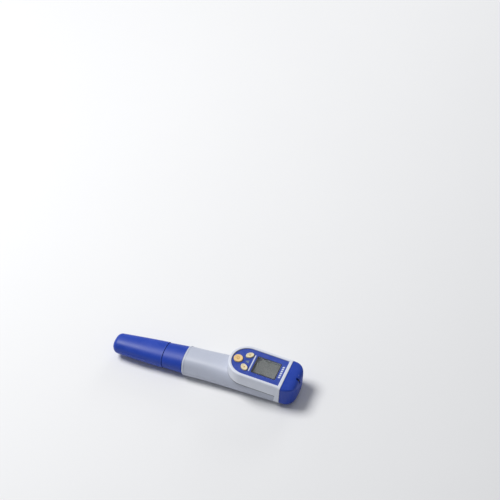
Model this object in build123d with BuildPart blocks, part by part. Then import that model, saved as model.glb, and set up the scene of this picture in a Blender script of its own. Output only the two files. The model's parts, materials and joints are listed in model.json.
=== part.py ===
"""Pen-style water quality probe with a plug-in sensor, a protective cap and a battery cap."""
import math
import os

from build123d import *

os.makedirs("parts", exist_ok=True)

# Frame: X along the probe towards the display, Z up through the display, origin under the middle.
AXIS_Z = 12.0
FACE_TILT = 8.27
FACE_END_X = 87.3
FACE_END_Z = 28.2

# Length stations of the main pieces.
CAP_TIP_X = -100.76
CAP_MOUTH_X = -44.1
COLLAR_FRONT_X = -43.8
COLLAR_BACK_X = -21.8
HANDLE_END_X = -21.5
HANDLE_FILL_X = -9.0
PORT_DEPTH_X = -12.0
REAR_END_X = 92.0

# Rear housing: station, half width, rise, drop, power above and below, and side crease.
BODY_SECTIONS = (
    (HANDLE_END_X, 15.9, 12.4, 12.6, 2.6, 2.4, 0.2),
    (5.0, 16.1, 12.2, 12.6, 2.6, 2.5, 0.2),
    (27.0, 16.8, 12.0, 12.6, 2.5, 2.7, 0.1),
    (50.0, 17.8, 12.0, 12.6, 2.5, 3.1, 0.0),
    (REAR_END_X, 18.6, 12.0, 12.6, 2.8, 3.6, 0.0),
)
CAVITY_SECTIONS = (
    (HANDLE_FILL_X, 13.2, 9.7, 9.9, 2.25, 2.4),
    (5.0, 13.7, 9.8, 9.9, 2.25, 2.5),
    (27.0, 14.7, 9.9, 9.9, 2.3, 2.7),
    (50.0, 16.0, 9.9, 9.9, 2.5, 3.1),
    (REAR_END_X, 17.3, 9.9, 9.9, 2.8, 3.6),
)
BEAD_SECTION = (HANDLE_END_X, 16.1, 12.6, 12.6, 2.6, 2.4, 0.2)
BEAD_LENGTH = 2.6
BEAD_ROUND = 1.7
REST_CUT_DEPTH = 20.0
LABEL_SIZE = (36.0, 17.0)
LABEL_X = 56.0
LABEL_RECESS = 0.35
LABEL_THICK = 0.2
LABEL_ROUND = 1.5
LABEL_GAP = 0.2

# Head.
HEAD_LENGTH = 60.2
HEAD_RADIUS = 19.3
WALL_DEPTH = 14.4
SEAM_DEPTH = 15.2
RIM_WIDTH = 3.0
RIM_ROUND = 1.1
RIM_INNER_ROUND = 0.5
RECESS_DEPTH = 1.6
DECK_DEPTH = 3.6
HEAD_WALL = 2.2
SEAM_GAP = 0.15
GASKET_INSET = 0.1
GASKET_WIDTH = 1.8
PANEL_TOP = -1.0
PANEL_GAP = 0.1

# End frame and battery cap outline, measured across and down the end plane.
END_WIDTH = 40.0
END_DEPTH = 28.3
END_TOP_ROUND = 2.2
END_LOW_ROUND = 9.5
END_LEAST_ROUND = 0.6
FRAME_TOP = 3.0
FRAME_LOW = 6.2
FRAME_THICK = 8.0
PORT_WIDTH = 30.0
PORT_HEIGHT = 14.0
PORT_ROUND = 6.0
PORT_Z = 11.0

# Display, measured along the face from its battery end, with depths below the rim.
WINDOW_U = -21.3
WINDOW_LENGTH = 25.8
WINDOW_WIDTH = 21.4
WINDOW_ROUND = 1.4
WINDOW_GAP = 0.1
WINDOW_PROUD = 0.1
LEDGE = 0.6
GLASS_SIZE = (27.2, 22.6)
GLASS_TOP = -3.7
GLASS_LOW = -5.7
HOLDER_SIZE = (30.0, 25.4)
HOLDER_GAP = 0.05
STRIP_SIZE = (22.0, 1.6)
STRIP_V = 9.2

# Keys, keypad mat and snap domes.
ROUND_KEY_U = -51.0
ROUND_KEY_R = 4.6
OVAL_KEY_U = -41.7
OVAL_KEY_V = 7.9
OVAL_KEY_LONG = 4.25
OVAL_KEY_SHORT = 3.0
OVAL_KEY_TURN = 40.3
KEY_TOP = 0.3
KEY_GAP = 0.3
KEY_ROUND = 0.6
KEY_FLANGE_TOP = -3.75
KEY_FLANGE_LOW = -4.5
KEY_FLANGE_OUT = 0.8
KEY_STEM_LOW = -5.6
KEY_STEM_R = 1.2
MAT_TOP = -5.5
MAT_LOW = -6.0
MAT_SKIRT = 1.4
MAT_INSET = 4.6
MAT_END_U = -37.6
MAT_HOLE_GAP = 0.35
DOME_R = 2.4
DOME_HEIGHT = 0.6
DOME_TAPER = 45.0

# Board stack under the deck.
BOARD_TOP = -7.0
BOARD_THICK = 1.2
BOARD_LOW = BOARD_TOP - BOARD_THICK
BOARD_WIDTH = 33.2
BOARD_END_U = -10.0
SCREW_U = (-12.0, -35.2)
SCREW_V = 15.0
SCREW_R = 0.75
SCREW_HOLE_GAP = 0.15
SCREW_HEAD_R = 1.5
SCREW_HEAD_TALL = 1.1
SCREW_SHANK_TOP = -3.4
SCREW_BORE_TOP = -2.8
CROSS_SLOT = (2.4, 0.4)
CROSS_DEPTH = 0.6
BOSS_R = 2.0

# Each chip is a block under the board: its middle along and across the face, and its size.
CHIPS = {
    "controller_chip": ((-40.0, -4.0), (9.0, 9.0, 1.4)),
    "measuring_chip": ((-50.0, 5.5), (6.0, 5.0, 1.5)),
    "clock_crystal": ((-40.5, 7.5), (7.0, 2.6, 1.3)),
    "flex_connector": ((-52.6, -3.0), (3.0, 9.0, 1.6)),
}
CAPACITOR_SPOTS = ((-31.0, -10.0), (-31.0, -6.4), (-31.0, -2.8))
CAPACITOR_SIZE = (3.4, 1.8, 1.2)

# Battery bay, tray and cells.
BAY_WALL = 1.2
BAY_DEEP_X = 57.0
CONTACT_Y = 8.0
CONTACT_SIZE = (2.8, 4.8)
CONTACT_SLOT = (3.0, 5.0)
CONTACT_BACK = 2.0
CONTACT_FRONT = 0.9
LEAD_R = 0.55
LEAD_RISE = 4.0
LEAD_RUN = 3.0
LEAD_SPREAD = 1.5
LEAD_END = (-33.0, 12.5)
CELL_R = 5.8
CELL_THICK = 5.4
CELL_X = 67.5
CELL_Z = 10.9
CELL_COUNT = 4
CELL_SPACE = 0.1
CELL_EDGE = 0.5
CELL_GROOVE_DEPTH = 0.3
TRAY_X = (60.6, 75.6)
TRAY_GAP = 0.5
TRAY_POCKET_GAP = 0.15
TRAY_FLOOR_GAP = 0.05
TRAY_END_SPACE = 0.7
TRAY_NOTCH = (4.0, 4.0, 6.0)
PLATE_SIZE = (8.0, 0.4, 8.0)
PLATE_BUTTON_R = 1.4
PLATE_BUTTON_TALL = 0.25

# Battery cap.
DOME_REACH = 14.9
DOME_SHARES = (0.02, 0.14, 0.29, 0.44, 0.59, 0.72, 0.82, 0.9, 0.95, 0.98)
WIDE_POWER = 2.7
DEEP_POWER = 4.0
DOME_INSET = 0.4
HOLLOW_LIFTS = (2.3, 4.0, 5.6, 7.0)
HOLLOW_INSET = 2.8
CAP_REST_Z = 0.2
PLUG_GAP = 0.3
PLUG_WALL = 1.5
SEAL_X = 81.2
SEAL_LENGTH = 1.6
SEAL_SQUEEZE = 0.08
SEAL_DEPTH = 0.9
SLOT_CENTRE = (14.4, -3.0)
SLOT_R = 4.6
SLOT_WIDTH = 2.4
LANYARD_PIN = (12.3, -4.6)
LANYARD_PIN_R = 0.8
LANYARD_PIN_LENGTH = 5.2

# Sensor module: half width and half height of each oval, and lengths.
SENSOR_POWER = 2.2
COLLAR_SECTIONS = (
    (COLLAR_FRONT_X, 13.8, 10.2),
    (COLLAR_FRONT_X + 11.0, 14.4, 10.75),
    (COLLAR_BACK_X, 14.9, 11.2),
)
COLLAR_ROUND = 0.7
STEM_HALF = (11.0, 8.0)
STEM_PLAIN_X = -50.0
STEM_R = 6.0
STEM_TIP_X = -93.0
STEM_EDGE = 0.6
SHOULDER_X = -62.0
FORK_DEPTH = 12.0
FORK_GAP = 4.6
FORK_ROUND = 1.15
PLUG_HALF = (12.1, 8.6)
PLUG_END_X = -13.0
PLUG_PORT_HALF = (12.4, 8.9)
PLUG_PORT_POWER = 2.25
PLUG_SEAL_X = -18.6
PLUG_SEAL_RING = ((12.32, 8.82), (11.5, 8.0))
CAP_SEAL_X = -48.4
CAP_SEAL_RING = ((11.9, 8.4), (10.4, 7.4))
GROOVE_HALF = (14.0, 11.0)
SOCKET_SIZE = (17.0, 8.0)
SOCKET_GAP = 0.05
SOCKET_FRONT_X = -11.6
SOCKET_BACK_X = -4.0
PIN_PITCH = 2.2
PIN_COUNT = 6
PIN_R = 0.35
PIN_HOLE_GAP = 0.35
PIN_TIP_X = -8.6
FLEX_WIDTH = 8.0
FLEX_THICK = 0.3
FLEX_BENDS = ((18.0, 13.0), (30.0, 17.0))
ELECTRODE_R = 0.9
ELECTRODE_RISE = 3.2
ELECTRODE_LENGTH = 8.0
THERMISTOR_R = 1.1
THERMISTOR_LENGTH = 6.0
THERMISTOR_ROUND = 0.8

# Protective cap.
CAP_POWER = 2.3
CAP_SECTIONS = (
    (CAP_MOUTH_X, 14.1, 10.6),
    (-62.5, 13.25, 10.0),
    (-81.0, 12.0, 9.35),
    (CAP_TIP_X, 10.5, 8.6),
)
CAP_HOLLOW = (
    (CAP_MOUTH_X + 0.5, 12.25, 8.65),
    (-62.5, 11.45, 8.3),
    (-81.0, 10.1, 7.65),
    (CAP_TIP_X + 2.0, 8.7, 6.9),
)
CAP_END_ROUND = 6.0
HOLLOW_END_ROUND = 4.5
RIB_OUT = 0.5
RIB_TALL = 1.8
RIB_X = -75.0
RIB_LENGTH = 26.0

# Cutting tools reach well past the pieces, and some cuts overrun a face a little.
REACH = 60.0
OVERRUN = 0.5
TOUCH = 0.001

tilt = math.radians(FACE_TILT)
face = Plane(
    origin=(FACE_END_X, 0, FACE_END_Z),
    x_dir=(math.cos(tilt), 0, -math.sin(tilt)),
    z_dir=(math.sin(tilt), 0, math.cos(tilt)),
)
end = Plane(
    origin=(FACE_END_X, 0, FACE_END_Z),
    x_dir=(0, 1, 0),
    z_dir=(math.cos(tilt), 0, -math.sin(tilt)),
)


def on_side(along, depth):
    """Point of the middle plane at a distance along the face and off it."""
    return face.from_local_coords(Vector(along, 0, depth))


def fullness(power):
    """Length of a quadrant's curve handles for a superellipse of the given power."""
    return (8 * 2 ** (-1 / power) - 4) / 3


def oval(x, half_width, up, down, power_up, power_down, crease=0.0):
    """Sketch one oval cross-section at station x; a crease turns its upper half in at the sides."""
    quadrants = (
        (half_width, up, fullness(power_up), crease),
        (-half_width, up, fullness(power_up), crease),
        (-half_width, -down, fullness(power_down), 0.0),
        (half_width, -down, fullness(power_down), 0.0),
    )
    with BuildSketch(Plane.YZ.offset(x)) as section:
        with BuildLine():
            for index, (across, rise, handle, turn_in) in enumerate(quadrants):
                side = (across, AXIS_Z)
                side_handle = (across * (1 - turn_in), AXIS_Z + rise * handle)
                peak_handle = (across * handle, AXIS_Z + rise)
                peak = (0.0, AXIS_Z + rise)
                if index % 2 == 0:
                    Bezier(side, side_handle, peak_handle, peak)
                else:
                    Bezier(peak, peak_handle, side_handle, side)
        make_face()
    return section.sketch


def even_oval(x, half, power=SENSOR_POWER, grow=0.0):
    """Sketch an oval that is the same above and below the axis."""
    return oval(x, half[0] + grow, half[1] + grow, half[1] + grow, power, power)


def oval_ring(x, outer, inner):
    """Sketch the band between two even ovals given by their half sizes."""
    return even_oval(x, outer) - even_oval(x, inner)


def end_outline(inset, lift, wide=1.0, deep=1.0):
    """Sketch the flat-topped outline shared by the end frame and the battery cap."""
    width = (END_WIDTH - 2 * inset) * wide
    depth = (END_DEPTH - 2 * inset) * deep
    with BuildSketch(end.offset(lift)) as outline:
        with Locations((0, -END_DEPTH / 2)):
            Rectangle(width, depth)
        top = outline.vertices().sort_by(Axis.Y)[-2:]
        fillet(top, max(END_TOP_ROUND - inset, END_LEAST_ROUND) * min(wide, deep))
        low = outline.vertices().sort_by(Axis.Y)[:2]
        fillet(low, (END_LOW_ROUND - inset) * min(wide, deep))
    return outline.sketch


def head_outline(plane, inset, end_inset, end_u=0.0):
    """Sketch the round-nosed head outline on a plane parallel to the face."""
    nose = HEAD_RADIUS - HEAD_LENGTH
    length = end_u - end_inset - nose
    with BuildSketch(plane) as outline:
        with Locations((nose + length / 2, 0)):
            Rectangle(length, 2 * (HEAD_RADIUS - inset))
        with Locations((nose, 0)):
            Circle(HEAD_RADIUS - inset)
        with Locations((nose + length + HEAD_RADIUS, 0)):
            Rectangle(2 * HEAD_RADIUS, 4 * HEAD_RADIUS, mode=Mode.SUBTRACT)
    return outline.sketch


def frame_side(overrun, reach):
    """Sketch, seen from the side, all on one side of the end frame's slanted back."""
    top = on_side(-FRAME_TOP, 0)
    low = on_side(-FRAME_LOW, -END_DEPTH)
    slope = (top - low) * overrun
    high = top + slope
    under = low - slope
    with BuildSketch(Plane.XZ) as profile:
        with BuildLine():
            Polyline(
                (high.X, high.Z),
                (under.X, under.Z),
                (under.X + reach, under.Z),
                (under.X + reach, high.Z),
                close=True,
            )
        make_face()
    return profile.sketch


def window_outline(plane, gap):
    """Sketch the window's rounded outline, smaller all round by a gap."""
    with BuildSketch(plane) as outline:
        with Locations((WINDOW_U, 0)):
            RectangleRounded(WINDOW_LENGTH - 2 * gap, WINDOW_WIDTH - 2 * gap, WINDOW_ROUND - gap / 2)
    return outline.sketch


def key_outline(plane, spot, grow):
    """Sketch one key's outline, grown by a margin."""
    along, across, turn, long_half, short_half = spot
    with BuildSketch(plane) as outline:
        with Locations(Location((along, across, 0), (0, 0, turn))):
            if long_half > short_half:
                Ellipse(long_half + grow, short_half + grow)
            else:
                Circle(long_half + grow)
    return outline.sketch


def port_outline(x, inset):
    """Sketch the battery port's rounded outline at station x."""
    with BuildSketch(Plane.YZ.offset(x)) as outline:
        with Locations((0, PORT_Z)):
            RectangleRounded(PORT_WIDTH - 2 * inset, PORT_HEIGHT - 2 * inset, PORT_ROUND - inset)
    return outline.sketch


def finish(piece, name):
    """Label a finished piece and write it out."""
    piece.part.label = name
    export_step(piece.part, "parts/" + name + ".step")


KEYS = {
    "power_button": (ROUND_KEY_U, 0.0, 0.0, ROUND_KEY_R, ROUND_KEY_R),
    "left_button": (OVAL_KEY_U, OVAL_KEY_V, OVAL_KEY_TURN, OVAL_KEY_LONG, OVAL_KEY_SHORT),
    "right_button": (OVAL_KEY_U, -OVAL_KEY_V, -OVAL_KEY_TURN, OVAL_KEY_LONG, OVAL_KEY_SHORT),
}
key_middles = [(spot[0], spot[1]) for spot in KEYS.values()]
screw_spots = [(along, side * SCREW_V) for along in SCREW_U for side in (-1, 1)]
deck_cut = HEAD_WALL + OVERRUN

# ---- rear housing: handle and lower body ----
with BuildPart() as rear_housing:
    loft([oval(*station) for station in BODY_SECTIONS])
    extrude(oval(*BEAD_SECTION), amount=BEAD_LENGTH)
    bead_edges = rear_housing.edges().group_by(Axis.X)[0]
    fillet(bead_edges, BEAD_ROUND)
    loft([oval(*station) for station in CAVITY_SECTIONS], mode=Mode.SUBTRACT)
    plug_port = even_oval(HANDLE_END_X, PLUG_PORT_HALF, PLUG_PORT_POWER)
    extrude(plug_port, amount=PORT_DEPTH_X - HANDLE_END_X, mode=Mode.SUBTRACT)
    with BuildSketch(Plane.YZ.offset(PORT_DEPTH_X)):
        with Locations((0, AXIS_Z)):
            Rectangle(*SOCKET_SIZE)
    extrude(amount=HANDLE_FILL_X - PORT_DEPTH_X + OVERRUN, mode=Mode.SUBTRACT)
    with Locations((0, 0, -REST_CUT_DEPTH / 2)):
        Box(4 * REACH, 2 * REACH, REST_CUT_DEPTH, mode=Mode.SUBTRACT)
    above_seam = head_outline(face.offset(-SEAM_DEPTH), -SEAM_GAP, 0, HEAD_RADIUS)
    extrude(above_seam, amount=REACH, mode=Mode.SUBTRACT)
    extrude(frame_side(1, REACH), amount=REACH, both=True, mode=Mode.SUBTRACT)
    with BuildSketch(Plane.XY.offset(LABEL_RECESS)):
        with Locations((LABEL_X, 0)):
            RectangleRounded(
                LABEL_SIZE[0] + 2 * LABEL_GAP, LABEL_SIZE[1] + 2 * LABEL_GAP, LABEL_ROUND + LABEL_GAP
            )
    extrude(amount=-LABEL_RECESS - OVERRUN, mode=Mode.SUBTRACT)
finish(rear_housing, "rear_housing")

with BuildPart() as rating_label:
    with BuildSketch(Plane.XY.offset(LABEL_RECESS)):
        with Locations((LABEL_X, 0)):
            RectangleRounded(*LABEL_SIZE, LABEL_ROUND)
    extrude(amount=-LABEL_THICK)
finish(rating_label, "rating_label")

# ---- front housing: bezel, rim and end frame ----
with BuildPart() as end_frame:
    extrude(end_outline(0, 0), amount=-FRAME_THICK)
    extrude(frame_side(OVERRUN, REACH), amount=REACH, both=True, mode=Mode.INTERSECT)


def on_face(edge):
    """Whether an edge lies at the height of the rim."""
    return abs(face.to_local_coords(edge.center()).Z) < TOUCH


def round_recess(edge):
    """Whether an edge at the rim's height bounds the recess rather than the outside."""
    middle = face.to_local_coords(edge.center())
    inside = HEAD_RADIUS - RIM_WIDTH + PANEL_GAP
    return on_face(edge) and abs(middle.Y) < inside and abs(middle.X + HEAD_LENGTH / 2) < (
        HEAD_LENGTH / 2 - RIM_WIDTH + PANEL_GAP
    )


with BuildPart() as front_housing:
    extrude(head_outline(face.offset(-WALL_DEPTH), 0, FRAME_TOP / 2), amount=WALL_DEPTH)
    outer_rim = front_housing.edges().filter_by(
        lambda edge: on_face(edge) and face.to_local_coords(edge.center()).X < -FRAME_TOP
    )
    fillet(outer_rim, RIM_ROUND)
    inside = head_outline(face.offset(-DECK_DEPTH), HEAD_WALL, FRAME_TOP)
    extrude(inside, amount=-WALL_DEPTH, mode=Mode.SUBTRACT)
    add(end_frame.part)
    recess = head_outline(face.offset(-RECESS_DEPTH), RIM_WIDTH, RIM_WIDTH)
    extrude(recess, amount=RECESS_DEPTH + OVERRUN, mode=Mode.SUBTRACT)
    fillet(front_housing.edges().filter_by(round_recess), RIM_INNER_ROUND)
    deck = face.offset(-RECESS_DEPTH)
    extrude(window_outline(deck, LEDGE), amount=-deck_cut, mode=Mode.SUBTRACT)
    for spot in KEYS.values():
        extrude(key_outline(deck, spot, KEY_GAP), amount=-deck_cut, mode=Mode.SUBTRACT)
    with BuildSketch(face.offset(-DECK_DEPTH)):
        with Locations(*screw_spots):
            Circle(BOSS_R)
    extrude(amount=BOARD_TOP + DECK_DEPTH)
    with BuildSketch(face.offset(BOARD_TOP)):
        with Locations(*screw_spots):
            Circle(SCREW_R)
    extrude(amount=SCREW_BORE_TOP - BOARD_TOP, mode=Mode.SUBTRACT)
    extrude(port_outline(BAY_DEEP_X, 0), amount=REACH, mode=Mode.SUBTRACT)
finish(front_housing, "front_housing")

with BuildPart() as housing_gasket:
    strip = head_outline(face.offset(-SEAM_DEPTH), GASKET_INSET, FRAME_TOP)
    extrude(strip, amount=SEAM_DEPTH - WALL_DEPTH)
    middle = head_outline(face.offset(-SEAM_DEPTH - OVERRUN), GASKET_INSET + GASKET_WIDTH, -HEAD_WALL)
    extrude(middle, amount=SEAM_DEPTH - WALL_DEPTH + 2 * OVERRUN, mode=Mode.SUBTRACT)
    extrude(frame_side(1, REACH), amount=REACH, both=True, mode=Mode.SUBTRACT)
finish(housing_gasket, "housing_gasket")

# ---- face panel and window ----
panel_edge = RIM_WIDTH + PANEL_GAP

with BuildPart() as face_panel:
    extrude(head_outline(deck, panel_edge, panel_edge), amount=RECESS_DEPTH + PANEL_TOP)
    extrude(window_outline(deck, 0), amount=RECESS_DEPTH, mode=Mode.SUBTRACT)
    for spot in KEYS.values():
        extrude(key_outline(deck, spot, KEY_GAP), amount=RECESS_DEPTH, mode=Mode.SUBTRACT)
finish(face_panel, "face_panel")

with BuildPart() as display_window:
    extrude(window_outline(deck, WINDOW_GAP), amount=RECESS_DEPTH + PANEL_TOP + WINDOW_PROUD)
finish(display_window, "display_window")

# ---- display stack ----
with BuildPart() as display_glass:
    with BuildSketch(face.offset(GLASS_LOW)):
        with Locations((WINDOW_U, 0)):
            Rectangle(*GLASS_SIZE)
    extrude(amount=GLASS_TOP - GLASS_LOW)
finish(display_glass, "display_glass")

with BuildPart() as display_holder:
    with BuildSketch(face.offset(BOARD_TOP)):
        with Locations((WINDOW_U, 0)):
            Rectangle(*HOLDER_SIZE)
            Rectangle(GLASS_SIZE[0] + 2 * HOLDER_GAP, GLASS_SIZE[1] + 2 * HOLDER_GAP, mode=Mode.SUBTRACT)
    extrude(amount=GLASS_TOP - BOARD_TOP)
finish(display_holder, "display_holder")

with BuildPart() as contact_strips:
    with BuildSketch(face.offset(BOARD_TOP)):
        with Locations((WINDOW_U, -STRIP_V), (WINDOW_U, STRIP_V)):
            Rectangle(*STRIP_SIZE)
    extrude(amount=GLASS_LOW - BOARD_TOP)
finish(contact_strips, "contact_strips")

# ---- keys, keypad mat and snap domes ----
for key_name, spot in KEYS.items():
    with BuildPart() as key:
        flange = key_outline(face.offset(KEY_FLANGE_LOW), spot, KEY_FLANGE_OUT)
        extrude(flange, amount=KEY_FLANGE_TOP - KEY_FLANGE_LOW)
        extrude(key_outline(face.offset(KEY_FLANGE_TOP), spot, 0), amount=KEY_TOP - KEY_FLANGE_TOP)
        top_edges = key.edges().filter_by(
            lambda edge: abs(face.to_local_coords(edge.center()).Z - KEY_TOP) < TOUCH
        )
        fillet(top_edges, KEY_ROUND)
        with BuildSketch(face.offset(KEY_STEM_LOW)):
            with Locations((spot[0], spot[1])):
                Circle(KEY_STEM_R)
        extrude(amount=KEY_FLANGE_LOW - KEY_STEM_LOW)
    finish(key, key_name)

with BuildPart() as keypad_mat:
    extrude(head_outline(face.offset(BOARD_TOP), MAT_INSET, 0, MAT_END_U), amount=MAT_TOP - BOARD_TOP)
    under_mat = head_outline(face.offset(BOARD_TOP), MAT_INSET + MAT_SKIRT, MAT_SKIRT, MAT_END_U)
    extrude(under_mat, amount=MAT_LOW - BOARD_TOP, mode=Mode.SUBTRACT)
    with BuildSketch(face.offset(MAT_LOW)):
        with Locations(*key_middles):
            Circle(KEY_STEM_R + MAT_HOLE_GAP)
    extrude(amount=MAT_TOP - MAT_LOW, mode=Mode.SUBTRACT)
finish(keypad_mat, "keypad_mat")

with BuildPart() as snap_domes:
    with BuildSketch(face.offset(BOARD_TOP)):
        with Locations(*key_middles):
            Circle(DOME_R)
    extrude(amount=DOME_HEIGHT, taper=DOME_TAPER)
finish(snap_domes, "snap_domes")

# ---- main board, its screws and its parts ----
with BuildPart() as main_board:
    board = head_outline(face.offset(BOARD_LOW), HEAD_RADIUS - BOARD_WIDTH / 2, 0, BOARD_END_U)
    extrude(board, amount=BOARD_THICK)
    with BuildSketch(face.offset(BOARD_LOW)):
        with Locations(*screw_spots):
            Circle(SCREW_R + SCREW_HOLE_GAP)
    extrude(amount=BOARD_THICK, mode=Mode.SUBTRACT)
finish(main_board, "main_board")

with BuildPart() as board_screws:
    with BuildSketch(face.offset(BOARD_LOW)):
        with Locations(*screw_spots):
            Circle(SCREW_HEAD_R)
    extrude(amount=-SCREW_HEAD_TALL)
    with BuildSketch(face.offset(BOARD_LOW)):
        with Locations(*screw_spots):
            Circle(SCREW_R)
    extrude(amount=SCREW_SHANK_TOP - BOARD_LOW)
    with BuildSketch(face.offset(BOARD_LOW - SCREW_HEAD_TALL)):
        with Locations(*screw_spots):
            Rectangle(CROSS_SLOT[0], CROSS_SLOT[1])
            Rectangle(CROSS_SLOT[1], CROSS_SLOT[0])
    extrude(amount=CROSS_DEPTH, mode=Mode.SUBTRACT)
finish(board_screws, "board_screws")

for chip_name, (spot, size) in CHIPS.items():
    with BuildPart() as chip:
        with BuildSketch(face.offset(BOARD_LOW)):
            with Locations(spot):
                Rectangle(size[0], size[1])
        extrude(amount=-size[2])
    finish(chip, chip_name)

with BuildPart() as capacitors:
    with BuildSketch(face.offset(BOARD_LOW)):
        with Locations(*CAPACITOR_SPOTS):
            Rectangle(CAPACITOR_SIZE[0], CAPACITOR_SIZE[1])
    extrude(amount=-CAPACITOR_SIZE[2])
finish(capacitors, "capacitors")

# ---- battery bay ----
contact_spots = ((-CONTACT_Y, CELL_Z), (CONTACT_Y, CELL_Z))

with BuildPart() as battery_bay:
    extrude(port_outline(BAY_DEEP_X, -BAY_WALL), amount=REACH)
    extrude(port_outline(BAY_DEEP_X + BAY_WALL, 0), amount=REACH, mode=Mode.SUBTRACT)
    extrude(frame_side(1, 2 * REACH), amount=REACH, both=True, mode=Mode.SUBTRACT)
    with BuildSketch(Plane.YZ.offset(BAY_DEEP_X)):
        with Locations(*contact_spots):
            Rectangle(*CONTACT_SLOT)
    extrude(amount=BAY_WALL, mode=Mode.SUBTRACT)
finish(battery_bay, "battery_bay")

with BuildPart() as bay_contacts:
    with BuildSketch(Plane.YZ.offset(BAY_DEEP_X - CONTACT_BACK)):
        with Locations(*contact_spots):
            Rectangle(*CONTACT_SIZE)
    extrude(amount=CONTACT_BACK + BAY_WALL + CONTACT_FRONT)
finish(bay_contacts, "bay_contacts")

lead_start_x = BAY_DEEP_X - CONTACT_BACK

with BuildPart() as battery_leads:
    for side in (-1, 1):
        with BuildLine():
            lead_end = face.from_local_coords(Vector(LEAD_END[0], side * LEAD_END[1], BOARD_LOW))
            lead_path = Spline(
                (lead_start_x, side * CONTACT_Y, CELL_Z),
                (lead_start_x - LEAD_RUN, side * (CONTACT_Y + LEAD_SPREAD), CELL_Z + LEAD_RISE),
                (lead_end.X, lead_end.Y, lead_end.Z),
                tangents=((-1, 0, 0), (math.sin(tilt), 0, math.cos(tilt))),
            )
        with BuildSketch(Plane(origin=lead_path @ 0, z_dir=lead_path % 0)):
            Circle(LEAD_R)
        sweep(path=lead_path)
finish(battery_leads, "battery_leads")

# ---- battery tray, cells and contacts ----
cell_pitch = CELL_THICK + CELL_SPACE
row_width = CELL_COUNT * cell_pitch + 2 * TRAY_END_SPACE
pocket_length = 2 * (CELL_R + TRAY_POCKET_GAP)
pocket_floor = CELL_Z - CELL_R - TRAY_FLOOR_GAP

with BuildPart() as battery_tray:
    extrude(port_outline(TRAY_X[0], TRAY_GAP), amount=TRAY_X[1] - TRAY_X[0])
    with Locations((CELL_X, 0, pocket_floor + PORT_HEIGHT / 2)):
        Box(pocket_length, row_width, PORT_HEIGHT, mode=Mode.SUBTRACT)
    with Locations((TRAY_X[0], -CONTACT_Y, CELL_Z), (TRAY_X[0], CONTACT_Y, CELL_Z)):
        Box(*TRAY_NOTCH, mode=Mode.SUBTRACT)
finish(battery_tray, "battery_tray")

for index in range(CELL_COUNT):
    cell_y = (index - (CELL_COUNT - 1) / 2) * cell_pitch
    with BuildPart() as cell:
        with BuildSketch(Plane.XZ.offset(-cell_y - CELL_THICK / 2)):
            with Locations((CELL_X, CELL_Z)):
                Circle(CELL_R)
        extrude(amount=CELL_THICK)
        fillet(cell.edges().sort_by(Axis.Y)[-1:], CELL_EDGE)
        with BuildSketch(Plane.XZ.offset(-cell_y + CELL_THICK / 2)):
            with Locations((CELL_X, CELL_Z)):
                Circle(CELL_R - CELL_EDGE)
                Circle(CELL_R - 2 * CELL_EDGE, mode=Mode.SUBTRACT)
        extrude(amount=-CELL_GROOVE_DEPTH, mode=Mode.SUBTRACT)
    finish(cell, "button_cell_" + str(index + 1))

plate_y = (row_width - PLATE_SIZE[1]) / 2
button_y = plate_y - PLATE_SIZE[1] / 2 - PLATE_BUTTON_TALL / 4

with BuildPart() as tray_contacts:
    for side in (-1, 1):
        with Locations((CELL_X, side * plate_y, CELL_Z)):
            Box(*PLATE_SIZE)
        with Locations((CELL_X, side * button_y, CELL_Z)):
            Cylinder(PLATE_BUTTON_R, PLATE_BUTTON_TALL, rotation=(90, 0, 0))
finish(tray_contacts, "tray_contacts")

# ---- battery cap ----


def dome_sections(inset, lifts):
    """Sketch the sections of the battery cap's dome at each lift off the end plane."""
    sections = []
    for lift in lifts:
        wide = (1 - (lift / DOME_REACH) ** WIDE_POWER) ** (1 / WIDE_POWER)
        deep = (1 - (lift / DOME_REACH) ** DEEP_POWER) ** (1 / DEEP_POWER)
        sections.append(end_outline(inset, lift, wide, deep))
    return sections


slot_spot = on_side(*SLOT_CENTRE)
pin_spot = on_side(*LANYARD_PIN)
plug_length = FACE_END_X - TRAY_X[1]

with BuildPart() as battery_cap:
    loft(dome_sections(DOME_INSET, [share * DOME_REACH for share in DOME_SHARES]))
    with Locations((FACE_END_X, 0, CAP_REST_Z - REST_CUT_DEPTH / 2)):
        Box(REACH, REACH, REST_CUT_DEPTH, mode=Mode.SUBTRACT)
    loft(dome_sections(HOLLOW_INSET, HOLLOW_LIFTS), mode=Mode.SUBTRACT)
    extrude(port_outline(TRAY_X[1], PLUG_GAP), amount=plug_length)
    plug_hollow = port_outline(TRAY_X[1], PLUG_GAP + PLUG_WALL)
    extrude(plug_hollow, amount=plug_length + HOLLOW_LIFTS[0], mode=Mode.SUBTRACT)
    seal_groove = port_outline(SEAL_X, -PLUG_WALL) - port_outline(SEAL_X, SEAL_DEPTH)
    extrude(seal_groove, amount=SEAL_LENGTH, mode=Mode.SUBTRACT)
    with BuildSketch(Plane.XZ):
        with Locations((slot_spot.X, slot_spot.Z)):
            Circle(SLOT_R)
    extrude(amount=SLOT_WIDTH / 2, both=True, mode=Mode.SUBTRACT)
    with BuildSketch(Plane.XZ):
        with Locations((pin_spot.X, pin_spot.Z)):
            Circle(LANYARD_PIN_R)
    extrude(amount=LANYARD_PIN_LENGTH / 2, both=True, mode=Mode.SUBTRACT)
finish(battery_cap, "battery_cap")

with BuildPart() as lanyard_pin:
    with BuildSketch(Plane.XZ):
        with Locations((pin_spot.X, pin_spot.Z)):
            Circle(LANYARD_PIN_R)
    extrude(amount=LANYARD_PIN_LENGTH / 2, both=True)
finish(lanyard_pin, "lanyard_pin")

with BuildPart() as battery_cap_seal:
    seal_ring = port_outline(SEAL_X, SEAL_SQUEEZE) - port_outline(SEAL_X, SEAL_DEPTH)
    extrude(seal_ring, amount=SEAL_LENGTH)
finish(battery_cap_seal, "battery_cap_seal")

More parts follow.
